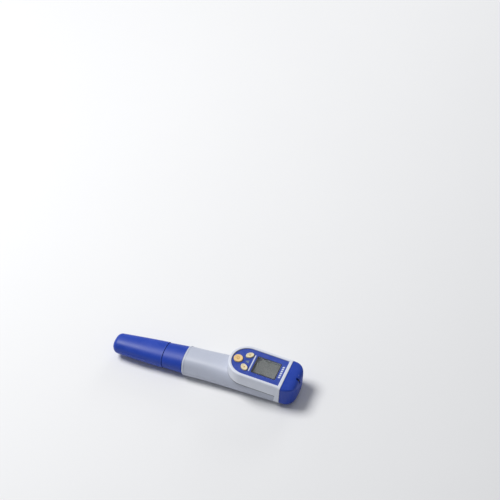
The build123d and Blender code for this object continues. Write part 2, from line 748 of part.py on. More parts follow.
# ---- sensor module: collar, electrode and plug ----
with BuildPart() as collar:
    loft([even_oval(x, (wide, high)) for x, wide, high in COLLAR_SECTIONS])
    fillet(collar.edges().group_by(Axis.X)[0], COLLAR_ROUND)
    extrude(even_oval(COLLAR_FRONT_X, STEM_HALF), amount=COLLAR_BACK_X - COLLAR_FRONT_X, mode=Mode.SUBTRACT)
finish(collar, "collar")

with BuildPart() as sensor_body:
    stem_back = even_oval(STEM_PLAIN_X, STEM_HALF)
    extrude(stem_back, amount=COLLAR_BACK_X - STEM_PLAIN_X)
    extrude(even_oval(COLLAR_BACK_X, PLUG_HALF), amount=PLUG_END_X - COLLAR_BACK_X)
    tube_front = even_oval(SHOULDER_X, (STEM_R, STEM_R), 2.0)
    loft([tube_front, stem_back])
    extrude(tube_front, amount=STEM_TIP_X - SHOULDER_X)
    for groove_x, ring in ((PLUG_SEAL_X, PLUG_SEAL_RING), (CAP_SEAL_X, CAP_SEAL_RING)):
        extrude(oval_ring(groove_x, GROOVE_HALF, ring[1]), amount=SEAL_LENGTH, mode=Mode.SUBTRACT)
    with BuildSketch(Plane.XY):
        with Locations((STEM_TIP_X, 0)):
            RectangleRounded(2 * FORK_DEPTH, FORK_GAP, FORK_ROUND)
    extrude(amount=REACH, mode=Mode.SUBTRACT)
    fillet(sensor_body.edges().group_by(Axis.X)[0], STEM_EDGE)
finish(sensor_body, "sensor_body")

with BuildPart() as collar_seal:
    extrude(oval_ring(PLUG_SEAL_X, *PLUG_SEAL_RING), amount=SEAL_LENGTH)
finish(collar_seal, "collar_seal")

with BuildPart() as cap_seal:
    extrude(oval_ring(CAP_SEAL_X, *CAP_SEAL_RING), amount=SEAL_LENGTH)
finish(cap_seal, "cap_seal")

pin_spots = [((index - (PIN_COUNT - 1) / 2) * PIN_PITCH, AXIS_Z) for index in range(PIN_COUNT)]

with BuildPart() as connector_pins:
    with BuildSketch(Plane.YZ.offset(PLUG_END_X)):
        with Locations(*pin_spots):
            Circle(PIN_R)
    extrude(amount=PIN_TIP_X - PLUG_END_X)
finish(connector_pins, "connector_pins")

with BuildPart() as sensor_socket:
    with BuildSketch(Plane.YZ.offset(SOCKET_FRONT_X)):
        with Locations((0, AXIS_Z)):
            Rectangle(SOCKET_SIZE[0] - 2 * SOCKET_GAP, SOCKET_SIZE[1] - 2 * SOCKET_GAP)
    extrude(amount=SOCKET_BACK_X - SOCKET_FRONT_X)
    with BuildSketch(Plane.YZ.offset(SOCKET_FRONT_X)):
        with Locations(*pin_spots):
            Circle(PIN_R + PIN_HOLE_GAP)
    extrude(amount=PIN_TIP_X - SOCKET_FRONT_X + OVERRUN, mode=Mode.SUBTRACT)
finish(sensor_socket, "sensor_socket")

connector_spot, connector_size = CHIPS["flex_connector"]
flex_top = on_side(connector_spot[0], BOARD_LOW - connector_size[2])

with BuildPart() as sensor_flex:
    with BuildSketch(Plane.XZ):
        with BuildLine():
            Spline(
                (SOCKET_BACK_X, AXIS_Z), *FLEX_BENDS, (flex_top.X, flex_top.Z), tangents=((1, 0), (0, 1))
            )
        trace(line_width=FLEX_THICK)
    extrude(amount=FLEX_WIDTH / 2, both=True)
finish(sensor_flex, "sensor_flex")

fork_root = Plane.YZ.offset(STEM_TIP_X + FORK_DEPTH)

with BuildPart() as electrode_pins:
    with BuildSketch(fork_root):
        with Locations((0, AXIS_Z - ELECTRODE_RISE), (0, AXIS_Z + ELECTRODE_RISE)):
            Circle(ELECTRODE_R)
    extrude(amount=-ELECTRODE_LENGTH)
finish(electrode_pins, "electrode_pins")

with BuildPart() as temperature_sensor:
    with BuildSketch(fork_root):
        with Locations((0, AXIS_Z)):
            Circle(THERMISTOR_R)
    extrude(amount=-THERMISTOR_LENGTH)
    fillet(temperature_sensor.edges().sort_by(Axis.X)[:1], THERMISTOR_ROUND)
finish(temperature_sensor, "temperature_sensor")

# ---- protective cap ----


def cap_sections(stations, grow):
    """Sketch the protective cap's ovals, each grown by a margin."""
    return [even_oval(x, (wide, high), CAP_POWER, grow) for x, wide, high in stations]


with BuildPart() as cap_ribs:
    loft(cap_sections(CAP_SECTIONS, RIB_OUT))
    with Locations((RIB_X, 0, AXIS_Z)):
        Box(RIB_LENGTH, REACH, RIB_TALL, mode=Mode.INTERSECT)

with BuildPart() as cap_hollow:
    loft(cap_sections(CAP_HOLLOW, 0))
    fillet(cap_hollow.edges().group_by(Axis.X)[0], HOLLOW_END_ROUND)

with BuildPart() as protective_cap:
    loft(cap_sections(CAP_SECTIONS, 0))
    fillet(protective_cap.edges().group_by(Axis.X)[0], CAP_END_ROUND)
    add(cap_ribs.part)
    add(cap_hollow.part, mode=Mode.SUBTRACT)
finish(protective_cap, "protective_cap")
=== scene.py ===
import json
import math

import bmesh
import bpy
from mathutils import Euler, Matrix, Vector


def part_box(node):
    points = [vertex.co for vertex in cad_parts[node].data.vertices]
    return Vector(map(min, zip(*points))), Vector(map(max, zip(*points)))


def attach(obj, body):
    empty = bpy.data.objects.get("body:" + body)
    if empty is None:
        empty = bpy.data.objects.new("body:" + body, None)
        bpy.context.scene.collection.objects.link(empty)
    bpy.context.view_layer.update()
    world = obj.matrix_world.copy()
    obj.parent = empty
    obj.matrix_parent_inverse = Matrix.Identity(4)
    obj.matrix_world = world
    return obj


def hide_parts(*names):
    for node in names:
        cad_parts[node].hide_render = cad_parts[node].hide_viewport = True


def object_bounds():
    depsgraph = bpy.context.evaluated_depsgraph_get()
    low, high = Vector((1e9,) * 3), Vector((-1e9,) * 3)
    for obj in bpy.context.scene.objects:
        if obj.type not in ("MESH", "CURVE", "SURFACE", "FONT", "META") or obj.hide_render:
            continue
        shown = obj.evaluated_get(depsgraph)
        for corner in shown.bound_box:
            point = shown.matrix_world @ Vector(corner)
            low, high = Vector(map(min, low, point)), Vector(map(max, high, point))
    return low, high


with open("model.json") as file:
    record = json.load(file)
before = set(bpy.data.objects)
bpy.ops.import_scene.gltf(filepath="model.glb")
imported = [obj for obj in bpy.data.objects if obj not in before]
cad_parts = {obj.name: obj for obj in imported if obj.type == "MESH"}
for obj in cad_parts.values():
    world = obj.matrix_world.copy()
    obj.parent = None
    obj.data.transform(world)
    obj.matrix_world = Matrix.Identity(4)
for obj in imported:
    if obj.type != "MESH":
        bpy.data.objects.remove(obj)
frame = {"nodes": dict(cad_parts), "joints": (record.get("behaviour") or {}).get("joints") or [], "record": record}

bl_info = {
    "name": "Water quality probe",
    "version": (1, 0, 0),
    "blender": (4, 5, 0),
    "location": "3D View > Sidebar > Probe",
    "description": "Builds the looks of a pen-style water quality probe round its fixed frame",
    "category": "Object",
}

MM = 0.001
CAD_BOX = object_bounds()
NODES = frame["nodes"]
RECORD = frame["record"]
BODY_OF = {node: body for body, nodes in RECORD["behaviour"]["bodies"].items() for node in nodes}

# The face's own directions: along it towards the battery end, across it, and out of it.
PRESS = next(joint for joint in frame["joints"] if joint["name"] == "power_button_press")
OUT = -Vector(PRESS["axis"]).normalized()
ACROSS = Vector((0.0, 1.0, 0.0))
ALONG = ACROSS.cross(OUT).normalized()
FACE_TILT = math.atan2(OUT.x, OUT.z)


def reach(node, direction):
    """Lowest and highest distance of a node's points along a direction."""
    spans = [vertex.co.dot(direction) for vertex in NODES[node].data.vertices]
    return min(spans), max(spans)


FACE_END = reach("front_housing", ALONG)[1]
FACE_TOP = reach("front_housing", OUT)[1]
PANEL_TOP = reach("face_panel", OUT)[1] - FACE_TOP
WINDOW_TOP = reach("display_window", OUT)[1] - FACE_TOP
GLASS_TOP = reach("display_glass", OUT)[1] - FACE_TOP


def face_point(along, across, out):
    """A point on the face: distances from its battery end, its middle and its rim, in metres."""
    return ALONG * (FACE_END + along) + ACROSS * across + OUT * (FACE_TOP + out)


def middle_on_face(node):
    """A node's middle along and across the face."""
    low, high = reach(node, ALONG)
    left, right = reach(node, ACROSS)
    return (low + high) / 2 - FACE_END, (left + right) / 2


# ---------------------------------------------------------------- settings


def colour(name, description, value):
    """A colour setting with its default."""
    return bpy.props.FloatVectorProperty(
        name=name, description=description, subtype="COLOR", size=3, min=0.0, max=1.0, default=value
    )


def length(name, description, value):
    """A length setting with its default."""
    return bpy.props.FloatProperty(name=name, description=description, unit="LENGTH", min=0.0, default=value)


class ProbeColours(bpy.types.PropertyGroup):
    shell: colour("Shell", "Moulded grey of the handle", (0.48, 0.51, 0.60))
    # Painted highlight: the bezel is the handle's plastic in a lighter grey, standing in for the light its rim
    # catches.
    bezel: colour("Bezel", "Moulded grey of the bezel and its rim", (0.72, 0.75, 0.83))
    blue: colour("Blue", "Moulded blue of the caps and the collar", (0.014, 0.052, 0.385))
    panel: colour("Panel", "Printed blue of the face panel", (0.034, 0.072, 0.39))
    display: colour("Display", "Resting colour of the display", (0.385, 0.385, 0.375))
    oval_key: colour("Oval keys", "Colour of the two oval keys", (0.80, 0.70, 0.44))
    round_key: colour("Round key", "Colour of the round key", (0.90, 0.62, 0.27))
    key_mark: colour("Key marks", "Colour of the marks on the keys", (0.55, 0.24, 0.05))
    print_white: colour("Print", "Pale printed marks on the panel", (0.62, 0.67, 0.80))
    print_grey: colour("Grey print", "Grey printed marks on the panel", (0.17, 0.23, 0.31))
    stem: colour("Stem", "Moulded grey of the electrode", (0.56, 0.58, 0.62))
    # Also the black of the housing gasket, which partly stands in for the shadow in the seam under the bezel:
    # painted shade.
    rubber: colour("Rubber", "Seals and gaskets", (0.018, 0.019, 0.022))
    board: colour("Board", "Solder mask of the circuit board", (0.012, 0.11, 0.045))
    floor: colour("Floor", "Studio floor", (0.82, 0.82, 0.82))


class ProbeSizes(bpy.types.PropertyGroup):
    print_depth: length("Print depth", "Thickness of the printed marks", 0.00004)
    border: length("Window border", "Width of the dark border printed on the window", 0.0007)
    print_line: length("Label lines", "Thickness of the lines printed on the label", 0.0007)
    mark_height: length("Strip marks", "Height of the marks in the strip beside the window", 0.0020)
    mark_pitch: length("Mark pitch", "Distance between the marks in the strip", 0.0026)
    dish: length("Key dish", "Depth of the hollow in each key's top", 0.0003)
    key_edge: length("Key edge", "Radius of each key's edge", 0.0006)
    digit_height: length("Digit height", "Height of a display digit", 0.0085)
    digit_pitch: length("Digit pitch", "Distance between display digits", 0.0052)
    joint_size: length("Solder joint", "Width of a solder joint", 0.0009)
    joint_pitch: length("Joint pitch", "Distance between solder joints", 0.0017)


def colours():
    return bpy.context.scene.probe_colours


def sizes():
    return bpy.context.scene.probe_sizes


# ---------------------------------------------------------------- shader groups


def add_node(tree, kind, inputs=None, **options):
    """Add a node, with its options set and its inputs set or linked."""
    made = tree.nodes.new(kind)
    for name, value in options.items():
        setattr(made, name, value)
    for name, value in (inputs or {}).items():
        if isinstance(value, bpy.types.NodeSocket):
            tree.links.new(value, made.inputs[name])
        else:
            made.inputs[name].default_value = value
    return made


def maths(tree, operation, first, second=0.0, clamp=False):
    """A Math node's result."""
    made = add_node(tree, "ShaderNodeMath", {0: first, 1: second}, operation=operation, use_clamp=clamp)
    return made.outputs[0]


def remap(tree, value, low, high, to_low=0.0, to_high=1.0):
    """A Map Range node's result."""
    made = add_node(
        tree,
        "ShaderNodeMapRange",
        {"Value": value, "From Min": low, "From Max": high, "To Min": to_low, "To Max": to_high},
    )
    return made.outputs["Result"]


def mix_colour(tree, factor, first, second, blend="MIX"):
    """A colour Mix node's result."""
    made = add_node(tree, "ShaderNodeMix", {"Factor": factor}, data_type="RGBA", blend_type=blend)
    for name, value in (("A", first), ("B", second)):
        socket = [item for item in made.inputs if item.name == name and item.type == "RGBA"][0]
        if isinstance(value, bpy.types.NodeSocket):
            tree.links.new(value, socket)
        else:
            socket.default_value = value
    return [item for item in made.outputs if item.type == "RGBA"][0]


def new_group(name, inputs, outputs):
    """An empty shader group with its sockets: (name, socket type, default)."""
    tree = bpy.data.node_groups.new(name, "ShaderNodeTree")
    for label, kind, default in inputs:
        socket = tree.interface.new_socket(label, in_out="INPUT", socket_type=kind)
        if default is not None:
            socket.default_value = default
    for label, kind in outputs:
        tree.interface.new_socket(label, in_out="OUTPUT", socket_type=kind)
    start = tree.nodes.new("NodeGroupInput")
    finish = tree.nodes.new("NodeGroupOutput")
    return tree, start, finish


FLOAT = "NodeSocketFloat"
VECTOR = "NodeSocketVector"

# Where each mask starts and where it is full, on its noise or its edge measure.
MOTTLE_BAND = (0.3, 0.7)
SHARP_EDGE_BAND = (0.52, 0.62)
WORN_BAND = (0.42, 0.66)
UPWARD_BAND = (0.2, 1.0)
DUST_PATCH_BAND = (0.45, 0.75)
DUST_SPECK_BAND = (0.60, 0.72)
SCRATCH_LINE_BAND = (0.68, 0.74)
SCRATCH_AREA_BAND = (0.45, 0.65)
DUST_PATCH_WEIGHT = 0.35


def noise(tree, vector, scale, detail, roughness=0.5):
    """A Noise node's value."""
    values = {"Vector": vector, "Scale": scale, "Detail": detail, "Roughness": roughness}
    return add_node(tree, "ShaderNodeTexNoise", values).outputs["Fac"]


def product(tree, first, second, amount):
    """A mask from two masks and an amount, held between 0 and 1."""
    return maths(tree, "MULTIPLY", maths(tree, "MULTIPLY", first, second), amount, clamp=True)


def grain_group():
    """Fine moulded texture: a height and a slow shade change."""
    tree, start, finish = new_group(
        "Moulded grain",
        [("Vector", VECTOR, None), ("Scale", FLOAT, 4000.0), ("Mottle Scale", FLOAT, 45.0)],
        [("Height", FLOAT), ("Mottle", FLOAT)],
    )
    vector, scale = start.outputs["Vector"], start.outputs["Scale"]
    cells = add_node(tree, "ShaderNodeTexVoronoi", {"Vector": vector, "Scale": scale})
    height = maths(tree, "MULTIPLY", noise(tree, vector, scale, 3.0, 0.6), cells.outputs["Distance"])
    slow = noise(tree, vector, start.outputs["Mottle Scale"], 5.0, 0.62)
    tree.links.new(height, finish.inputs["Height"])
    tree.links.new(remap(tree, slow, *MOTTLE_BAND), finish.inputs["Mottle"])
    return tree


def wear_group():
    """Rubbed edges, broken up by noise."""
    tree, start, finish = new_group(
        "Rubbed edges",
        [("Vector", VECTOR, None), ("Amount", FLOAT, 0.5), ("Break-up", FLOAT, 260.0)],
        [("Mask", FLOAT)],
    )
    shape = add_node(tree, "ShaderNodeNewGeometry")
    edge = remap(tree, shape.outputs["Pointiness"], *SHARP_EDGE_BAND)
    rubbing = noise(tree, start.outputs["Vector"], start.outputs["Break-up"], 6.0, 0.7)
    broken = remap(tree, rubbing, *WORN_BAND)
    tree.links.new(product(tree, edge, broken, start.outputs["Amount"]), finish.inputs["Mask"])
    return tree


def dust_group():
    """Thin dust on whatever faces up, thicker in patches."""
    tree, start, finish = new_group(
        "Settled dust", [("Vector", VECTOR, None), ("Amount", FLOAT, 0.3)], [("Mask", FLOAT)]
    )
    place = add_node(tree, "ShaderNodeTexCoord")
    split = add_node(tree, "ShaderNodeSeparateXYZ", {"Vector": place.outputs["Normal"]})
    upward = remap(tree, split.outputs["Z"], *UPWARD_BAND)
    vector = start.outputs["Vector"]
    patch = remap(tree, noise(tree, vector, 90.0, 7.0, 0.65), *DUST_PATCH_BAND)
    speck = remap(tree, noise(tree, vector, 2600.0, 2.0), *DUST_SPECK_BAND)
    both = maths(tree, "MAXIMUM", maths(tree, "MULTIPLY", patch, DUST_PATCH_WEIGHT), speck)
    tree.links.new(product(tree, both, upward, start.outputs["Amount"]), finish.inputs["Mask"])
    return tree


def scratch_group():
    """Fine handling scratches along one direction."""
    tree, start, finish = new_group(
        "Handling scratches",
        [("Vector", VECTOR, None), ("Turn", FLOAT, 0.4), ("Amount", FLOAT, 0.3)],
        [("Mask", FLOAT)],
    )
    turn = start.outputs["Turn"]
    turned = add_node(tree, "ShaderNodeCombineXYZ", {"X": turn, "Y": 0.0, "Z": turn}).outputs["Vector"]
    vector = start.outputs["Vector"]
    stretched = add_node(
        tree, "ShaderNodeMapping", {"Vector": vector, "Rotation": turned, "Scale": (60.0, 2600.0, 2600.0)}
    )
    line = remap(tree, noise(tree, stretched.outputs["Vector"], 1.0, 2.0), *SCRATCH_LINE_BAND)
    area = remap(tree, noise(tree, vector, 70.0, 2.0), *SCRATCH_AREA_BAND)
    tree.links.new(product(tree, line, area, start.outputs["Amount"]), finish.inputs["Mask"])
    return tree


GROUP_MAKERS = {
    "Moulded grain": grain_group,
    "Rubbed edges": wear_group,
    "Settled dust": dust_group,
    "Handling scratches": scratch_group,
}


def place_group(tree, name, inputs):
    """Place a shared shader group in a material, building it the first time."""
    group = bpy.data.node_groups.get(name) or GROUP_MAKERS[name]()
    return add_node(tree, "ShaderNodeGroup", inputs, node_tree=group)


# ---------------------------------------------------------------- materials

DUST_COLOUR = (0.42, 0.40, 0.37, 1.0)

# How far each effect moves the roughness of a moulded surface.
MOTTLE_GLOSS = (-0.05, 0.06)
RUBBED_GLOSS = 0.12
DUSTY_ROUGHNESS = 0.35
SCRATCHED_ROUGHNESS = 0.18
SCRATCH_SINK = 0.5
GRAIN_STRENGTH = 0.8
COAT_ROUGHNESS = 0.12


def opaque(rgb):
    """A colour as a colour with full alpha."""
    return (rgb[0], rgb[1], rgb[2], 1.0)


def scaled(rgb, factor):
    """A colour made lighter or darker."""
    return opaque([min(channel * factor, 1.0) for channel in rgb])


def start_material(name):
    """A material's tree, its shader and its object coordinates."""
    made = bpy.data.materials.new(name)
    made.use_nodes = True
    tree = made.node_tree
    place = add_node(tree, "ShaderNodeTexCoord")
    return made, tree, tree.nodes["Principled BSDF"], place.outputs["Object"]


def raise_grain(tree, shader, height, depth, strength):
    """Feed a height to the shader's normal through a Bump node."""
    bump = add_node(tree, "ShaderNodeBump", {"Height": height, "Distance": depth, "Strength": strength})
    tree.links.new(bump.outputs["Normal"], shader.inputs["Normal"])


def moulded(
    name,
    rgb,
    rough=0.42,
    grain=4200.0,
    depth=0.00002,
    wear=0.35,
    dust=0.25,
    scratch=0.25,
    shade=0.10,
    coat=0.0,
    shine=0.4,
    turn=0.4,
):
    """Moulded, rubbed and slightly dusty plastic, rubber or print."""
    made, tree, shader, place = start_material(name)
    texture = place_group(tree, "Moulded grain", {"Vector": place, "Scale": grain})
    edges = place_group(tree, "Rubbed edges", {"Vector": place, "Amount": wear}).outputs["Mask"]
    settled = place_group(tree, "Settled dust", {"Vector": place, "Amount": dust}).outputs["Mask"]
    lines = place_group(tree, "Handling scratches", {"Vector": place, "Turn": turn, "Amount": scratch})
    marks = lines.outputs["Mask"]
    mottle = texture.outputs["Mottle"]
    base = mix_colour(tree, mottle, scaled(rgb, 1.0 - shade), scaled(rgb, 1.0 + shade))
    worn = mix_colour(tree, edges, base, scaled([0.5 * channel + 0.35 for channel in rgb], 1.0))
    tree.links.new(mix_colour(tree, settled, worn, DUST_COLOUR), shader.inputs["Base Color"])
    varied = remap(tree, mottle, 0.0, 1.0, rough + MOTTLE_GLOSS[0], rough + MOTTLE_GLOSS[1])
    rubbed = maths(tree, "SUBTRACT", varied, maths(tree, "MULTIPLY", edges, RUBBED_GLOSS))
    powdered = maths(tree, "ADD", rubbed, maths(tree, "MULTIPLY", settled, DUSTY_ROUGHNESS))
    marked = maths(tree, "ADD", powdered, maths(tree, "MULTIPLY", marks, SCRATCHED_ROUGHNESS), clamp=True)
    tree.links.new(marked, shader.inputs["Roughness"])
    dented = maths(tree, "SUBTRACT", texture.outputs["Height"], maths(tree, "MULTIPLY", marks, SCRATCH_SINK))
    raise_grain(tree, shader, dented, depth, GRAIN_STRENGTH)
    shader.inputs["Specular IOR Level"].default_value = shine
    shader.inputs["Coat Weight"].default_value = coat
    shader.inputs["Coat Roughness"].default_value = COAT_ROUGHNESS
    return made


def brushed(name, rgb, rough=0.28, turn=0.0):
    """Metal with fine drawn lines."""
    made, tree, shader, place = start_material(name)
    stretched = add_node(
        tree,
        "ShaderNodeMapping",
        {"Vector": place, "Rotation": (0.0, 0.0, turn), "Scale": (300.0, 6000.0, 6000.0)},
    )
    lines = noise(tree, stretched.outputs["Vector"], 1.0, 4.0, 0.6)
    texture = place_group(tree, "Moulded grain", {"Vector": place, "Mottle Scale": 220.0})
    edges = place_group(tree, "Rubbed edges", {"Vector": place, "Amount": 0.5})
    base = mix_colour(tree, texture.outputs["Mottle"], scaled(rgb, 0.86), scaled(rgb, 1.08))
    bright = mix_colour(tree, edges.outputs["Mask"], base, scaled(rgb, 1.35))
    tree.links.new(bright, shader.inputs["Base Color"])
    drawn = remap(tree, lines, *MOTTLE_BAND, rough - 0.08, rough + 0.12)
    tree.links.new(drawn, shader.inputs["Roughness"])
    raise_grain(tree, shader, lines, 0.000006, 0.6)
    shader.inputs["Metallic"].default_value = 1.0
    return made


def window_clear():
    """Clear window with faint wiping marks."""
    made, tree, shader, place = start_material("Clear window")
    lines = place_group(tree, "Handling scratches", {"Vector": place, "Turn": 0.9, "Amount": 0.5})
    wiped = lines.outputs["Mask"]
    mottle = place_group(tree, "Moulded grain", {"Vector": place, "Mottle Scale": 120.0}).outputs["Mottle"]
    smear = remap(tree, mottle, 0.0, 1.0, 0.04, 0.12)
    marked = maths(tree, "ADD", smear, maths(tree, "MULTIPLY", wiped, 0.2))
    tint = mix_colour(tree, mottle, (0.93, 0.96, 0.95, 1.0), (0.97, 0.98, 0.98, 1.0))
    tree.links.new(tint, shader.inputs["Base Color"])
    tree.links.new(marked, shader.inputs["Roughness"])
    raise_grain(tree, shader, wiped, 0.000003, 0.3)
    shader.inputs["Transmission Weight"].default_value = 1.0
    shader.inputs["IOR"].default_value = 1.49
    return made


def display_grey(rgb):
    """Reflective display behind its polariser, with a faint cloud and fine columns."""
    made, tree, shader, place = start_material("Display polariser")
    mottle = place_group(tree, "Moulded grain", {"Vector": place, "Mottle Scale": 60.0}).outputs["Mottle"]
    wave = {"Vector": place, "Scale": 900.0, "Distortion": 0.0}
    columns = add_node(tree, "ShaderNodeTexWave", wave, bands_direction="X").outputs["Fac"]
    cloud = mix_colour(tree, mottle, scaled(rgb, 0.94), scaled(rgb, 1.05))
    fine = mix_colour(tree, maths(tree, "MULTIPLY", columns, 0.06), cloud, scaled(rgb, 0.6))
    tree.links.new(fine, shader.inputs["Base Color"])
    tree.links.new(remap(tree, mottle, 0.0, 1.0, 0.30, 0.42), shader.inputs["Roughness"])
    return made


def circuit_board(rgb):
    """Solder mask over copper tracks that turn at right angles."""
    made, tree, shader, place = start_material("Solder mask")
    flat = add_node(tree, "ShaderNodeMapping", {"Vector": place, "Rotation": (0.0, FACE_TILT, 0.0)})
    bricks = {"Vector": flat.outputs["Vector"], "Scale": 130.0, "Mortar Size": 0.035, "Mortar Smooth": 0.1}
    tracks = add_node(tree, "ShaderNodeTexBrick", bricks, offset=0.5).outputs["Fac"]
    over_copper = opaque((rgb[0] * 2.6, rgb[1] * 1.7, rgb[2] * 1.5))
    mask = mix_colour(tree, tracks, opaque(rgb), over_copper)
    mottle = place_group(tree, "Moulded grain", {"Vector": place, "Mottle Scale": 200.0}).outputs["Mottle"]
    shaded = mix_colour(tree, maths(tree, "MULTIPLY", mottle, 0.3), mask, scaled(rgb, 0.7))
    tree.links.new(shaded, shader.inputs["Base Color"])
    tree.links.new(remap(tree, mottle, 0.0, 1.0, 0.22, 0.36), shader.inputs["Roughness"])
    raise_grain(tree, shader, tracks, 0.00003, 0.5)
    return made


def floor_paper(rgb):
    """Plain pale studio floor."""
    made, tree, shader, place = start_material("Studio floor")
    texture = place_group(tree, "Moulded grain", {"Vector": place, "Scale": 900.0, "Mottle Scale": 3.0})
    tint = mix_colour(tree, texture.outputs["Mottle"], scaled(rgb, 0.985), opaque(rgb))
    tree.links.new(tint, shader.inputs["Base Color"])
    shader.inputs["Roughness"].default_value = 0.9
    return made


# Each moulded finish: its colour, or the name of its colour setting, and what differs from plain moulding.
MOULDED = {
    "Grey shell": ("shell", {"rough": 0.40, "dust": 0.16, "shade": 0.035}),
    # Painted highlight: the bezel is the shell's plastic made lighter, standing in for its brightly lit rim.
    "Grey bezel": ("bezel", {"rough": 0.34, "wear": 0.6, "dust": 0.1, "shade": 0.03, "grain": 5200.0}),
    "Blue shell": ("blue", {"dust": 0.08, "shade": 0.07, "shine": 0.3, "turn": 1.1}),
    "Blue panel": (
        "panel",
        {"rough": 0.4, "grain": 2600.0, "depth": 0.000012, "wear": 0.1, "dust": 0.08, "shade": 0.06}
        | {"shine": 0.25},
    ),
    "Oval key": ("oval_key", {"rough": 0.44, "wear": 0.25, "dust": 0.08, "shade": 0.05}),
    "Round key": ("round_key", {"rough": 0.44, "wear": 0.25, "dust": 0.08, "shade": 0.05}),
    "Key mark": ("key_mark", {"rough": 0.5, "wear": 0.0, "dust": 0.05, "scratch": 0.5}),
    "Pale print": ("print_white", {"rough": 0.5, "wear": 0.1, "dust": 0.1, "scratch": 0.5}),
    "Grey print": ("print_grey", {"rough": 0.5, "wear": 0.1, "dust": 0.1, "scratch": 0.5}),
    "Window border": ((0.055, 0.057, 0.062), {"rough": 0.3, "wear": 0.0, "dust": 0.04, "depth": 0.000004}),
    "Stem plastic": ("stem", {"rough": 0.38, "dust": 0.08, "shade": 0.04}),
    # Also used on the housing gasket, where the black is partly painted shade for the seam's shadow line.
    "Seal rubber": ("rubber", {"rough": 0.55, "wear": 0.1, "dust": 0.2, "coat": 0.15}),
    "Mat rubber": ((0.32, 0.33, 0.35), {"rough": 0.6, "wear": 0.1, "dust": 0.1}),
    "White plastic": ((0.74, 0.74, 0.72), {"rough": 0.45, "wear": 0.1, "dust": 0.1}),
    "Black plastic": ((0.02, 0.02, 0.022), {"wear": 0.3, "dust": 0.15}),
    "Chip plastic": ((0.012, 0.012, 0.013), {"rough": 0.5, "grain": 6000.0, "dust": 0.1}),
    "Capacitor": ((0.32, 0.21, 0.11), {"rough": 0.5, "wear": 0.1, "dust": 0.05}),
    "Flex film": ((0.42, 0.18, 0.03), {"rough": 0.25, "wear": 0.0, "dust": 0.05, "coat": 0.4}),
    "Lead insulation": ((0.42, 0.02, 0.012), {"rough": 0.35, "wear": 0.0, "dust": 0.05}),
    "Label film": ((0.66, 0.66, 0.64), {"rough": 0.35, "wear": 0.1, "dust": 0.1}),
    "Label print": ((0.05, 0.055, 0.07), {"rough": 0.45, "wear": 0.0, "dust": 0.1}),
}

# Each metal finish: its colour and what differs from plain brushing.
BRUSHED = {
    "Steel": ((0.56, 0.57, 0.58), {}),
    "Dark steel": ((0.12, 0.12, 0.13), {"rough": 0.4}),
    "Cell steel": ((0.60, 0.60, 0.60), {"rough": 0.22, "turn": 0.7}),
    "Gold plate": ((0.83, 0.58, 0.24), {"rough": 0.24}),
    "Solder": ((0.58, 0.58, 0.60), {"rough": 0.30}),
}

# A resting segment is this much of the display's own shade.
GHOST_SHADE = 0.90


def ghost_segments(rgb):
    """The faint grey of display segments at rest."""
    faint = [GHOST_SHADE * channel for channel in rgb]
    return moulded("Ghost segments", faint, rough=0.32, wear=0.0, dust=0.0, scratch=0.0)


def material(name):
    """A named finish, made the first time it is asked for."""
    found = bpy.data.materials.get(name)
    if found:
        return found
    if name in MOULDED:
        rgb, options = MOULDED[name]
        return moulded(name, getattr(colours(), rgb) if isinstance(rgb, str) else rgb, **options)
    if name in BRUSHED:
        rgb, options = BRUSHED[name]
        return brushed(name, rgb, **options)
    makers = {
        "Ghost segments": lambda: ghost_segments(colours().display),
        "Clear window": window_clear,
        "Display polariser": lambda: display_grey(colours().display),
        "Solder mask": lambda: circuit_board(colours().board),
        "Studio floor": lambda: floor_paper(colours().floor),
    }
    return makers[name]()


def dress(node, finish):
    """Give a carried-over node its finish."""
    mesh = NODES[node].data
    mesh.materials.clear()
    mesh.materials.append(material(finish))


# ---------------------------------------------------------------- mesh helpers


SHARP_ANGLE = math.radians(35)


def as_mesh(name, shape, outwards=True):
    """Turn a bmesh into a mesh, with its faces pointing outwards."""
    if outwards:
        bmesh.ops.recalc_face_normals(shape, faces=shape.faces)
    mesh = bpy.data.meshes.new(name)
    shape.to_mesh(mesh)
    shape.free()
    return mesh


def finish_piece(name, shape, finish, body, replaced=(), smooth=True):
    """Turn a bmesh into a piece that rides on a body."""
    mesh = as_mesh(name, shape)
    mesh.materials.append(material(finish))
    return finish_mesh(name, mesh, body, replaced, smooth)


def finish_mesh(name, mesh, body, replaced=(), smooth=True):
    """Turn a mesh that has its place and its material into a piece that rides on a body."""
    piece = bpy.data.objects.new(name, mesh)
    bpy.context.scene.collection.objects.link(piece)
    if smooth:
        mesh.shade_smooth()
        mesh.set_sharp_from_angle(angle=SHARP_ANGLE)
    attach(piece, body)
    if replaced:
        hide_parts(*replaced)
    return piece


def turns(count):
    """Evenly spaced angles round a full turn."""
    return [2 * math.pi * index / count for index in range(count)]


def oval(half_long, half_wide, steps):
    """Points round an oval."""
    return [(half_long * math.cos(turn), half_wide * math.sin(turn)) for turn in turns(steps)]


def ring_of(shape, points):
    """Add a closed ring of vertices."""
    return [shape.verts.new(point) for point in points]


def bridge(shape, first, second):
    """Join two rings of equal count with quads."""
    count = len(first)
    for index in range(count):
        follow = (index + 1) % count
        shape.faces.new((first[index], first[follow], second[follow], second[index]))


def skin(shape, rings):
    """Join each ring to the next."""
    for first, second in zip(rings, rings[1:]):
        bridge(shape, first, second)


def close_ring(shape, ring, centre):
    """Close a ring with a fan to its centre."""
    hub = shape.verts.new(centre)
    for index in range(len(ring)):
        shape.faces.new((ring[index], ring[(index + 1) % len(ring)], hub))


def slab(shape, lower_points, upper_points):
    """A closed slab between two outlines of equal count."""
    lower = ring_of(shape, lower_points)
    upper = ring_of(shape, upper_points)
    bridge(shape, lower, upper)
    shape.faces.new(upper)
    shape.faces.new(list(reversed(lower)))


def on_face(outline, level):
    """Points of an outline at a level over the face's rim."""
    return [face_point(u, v, level) for u, v in outline]


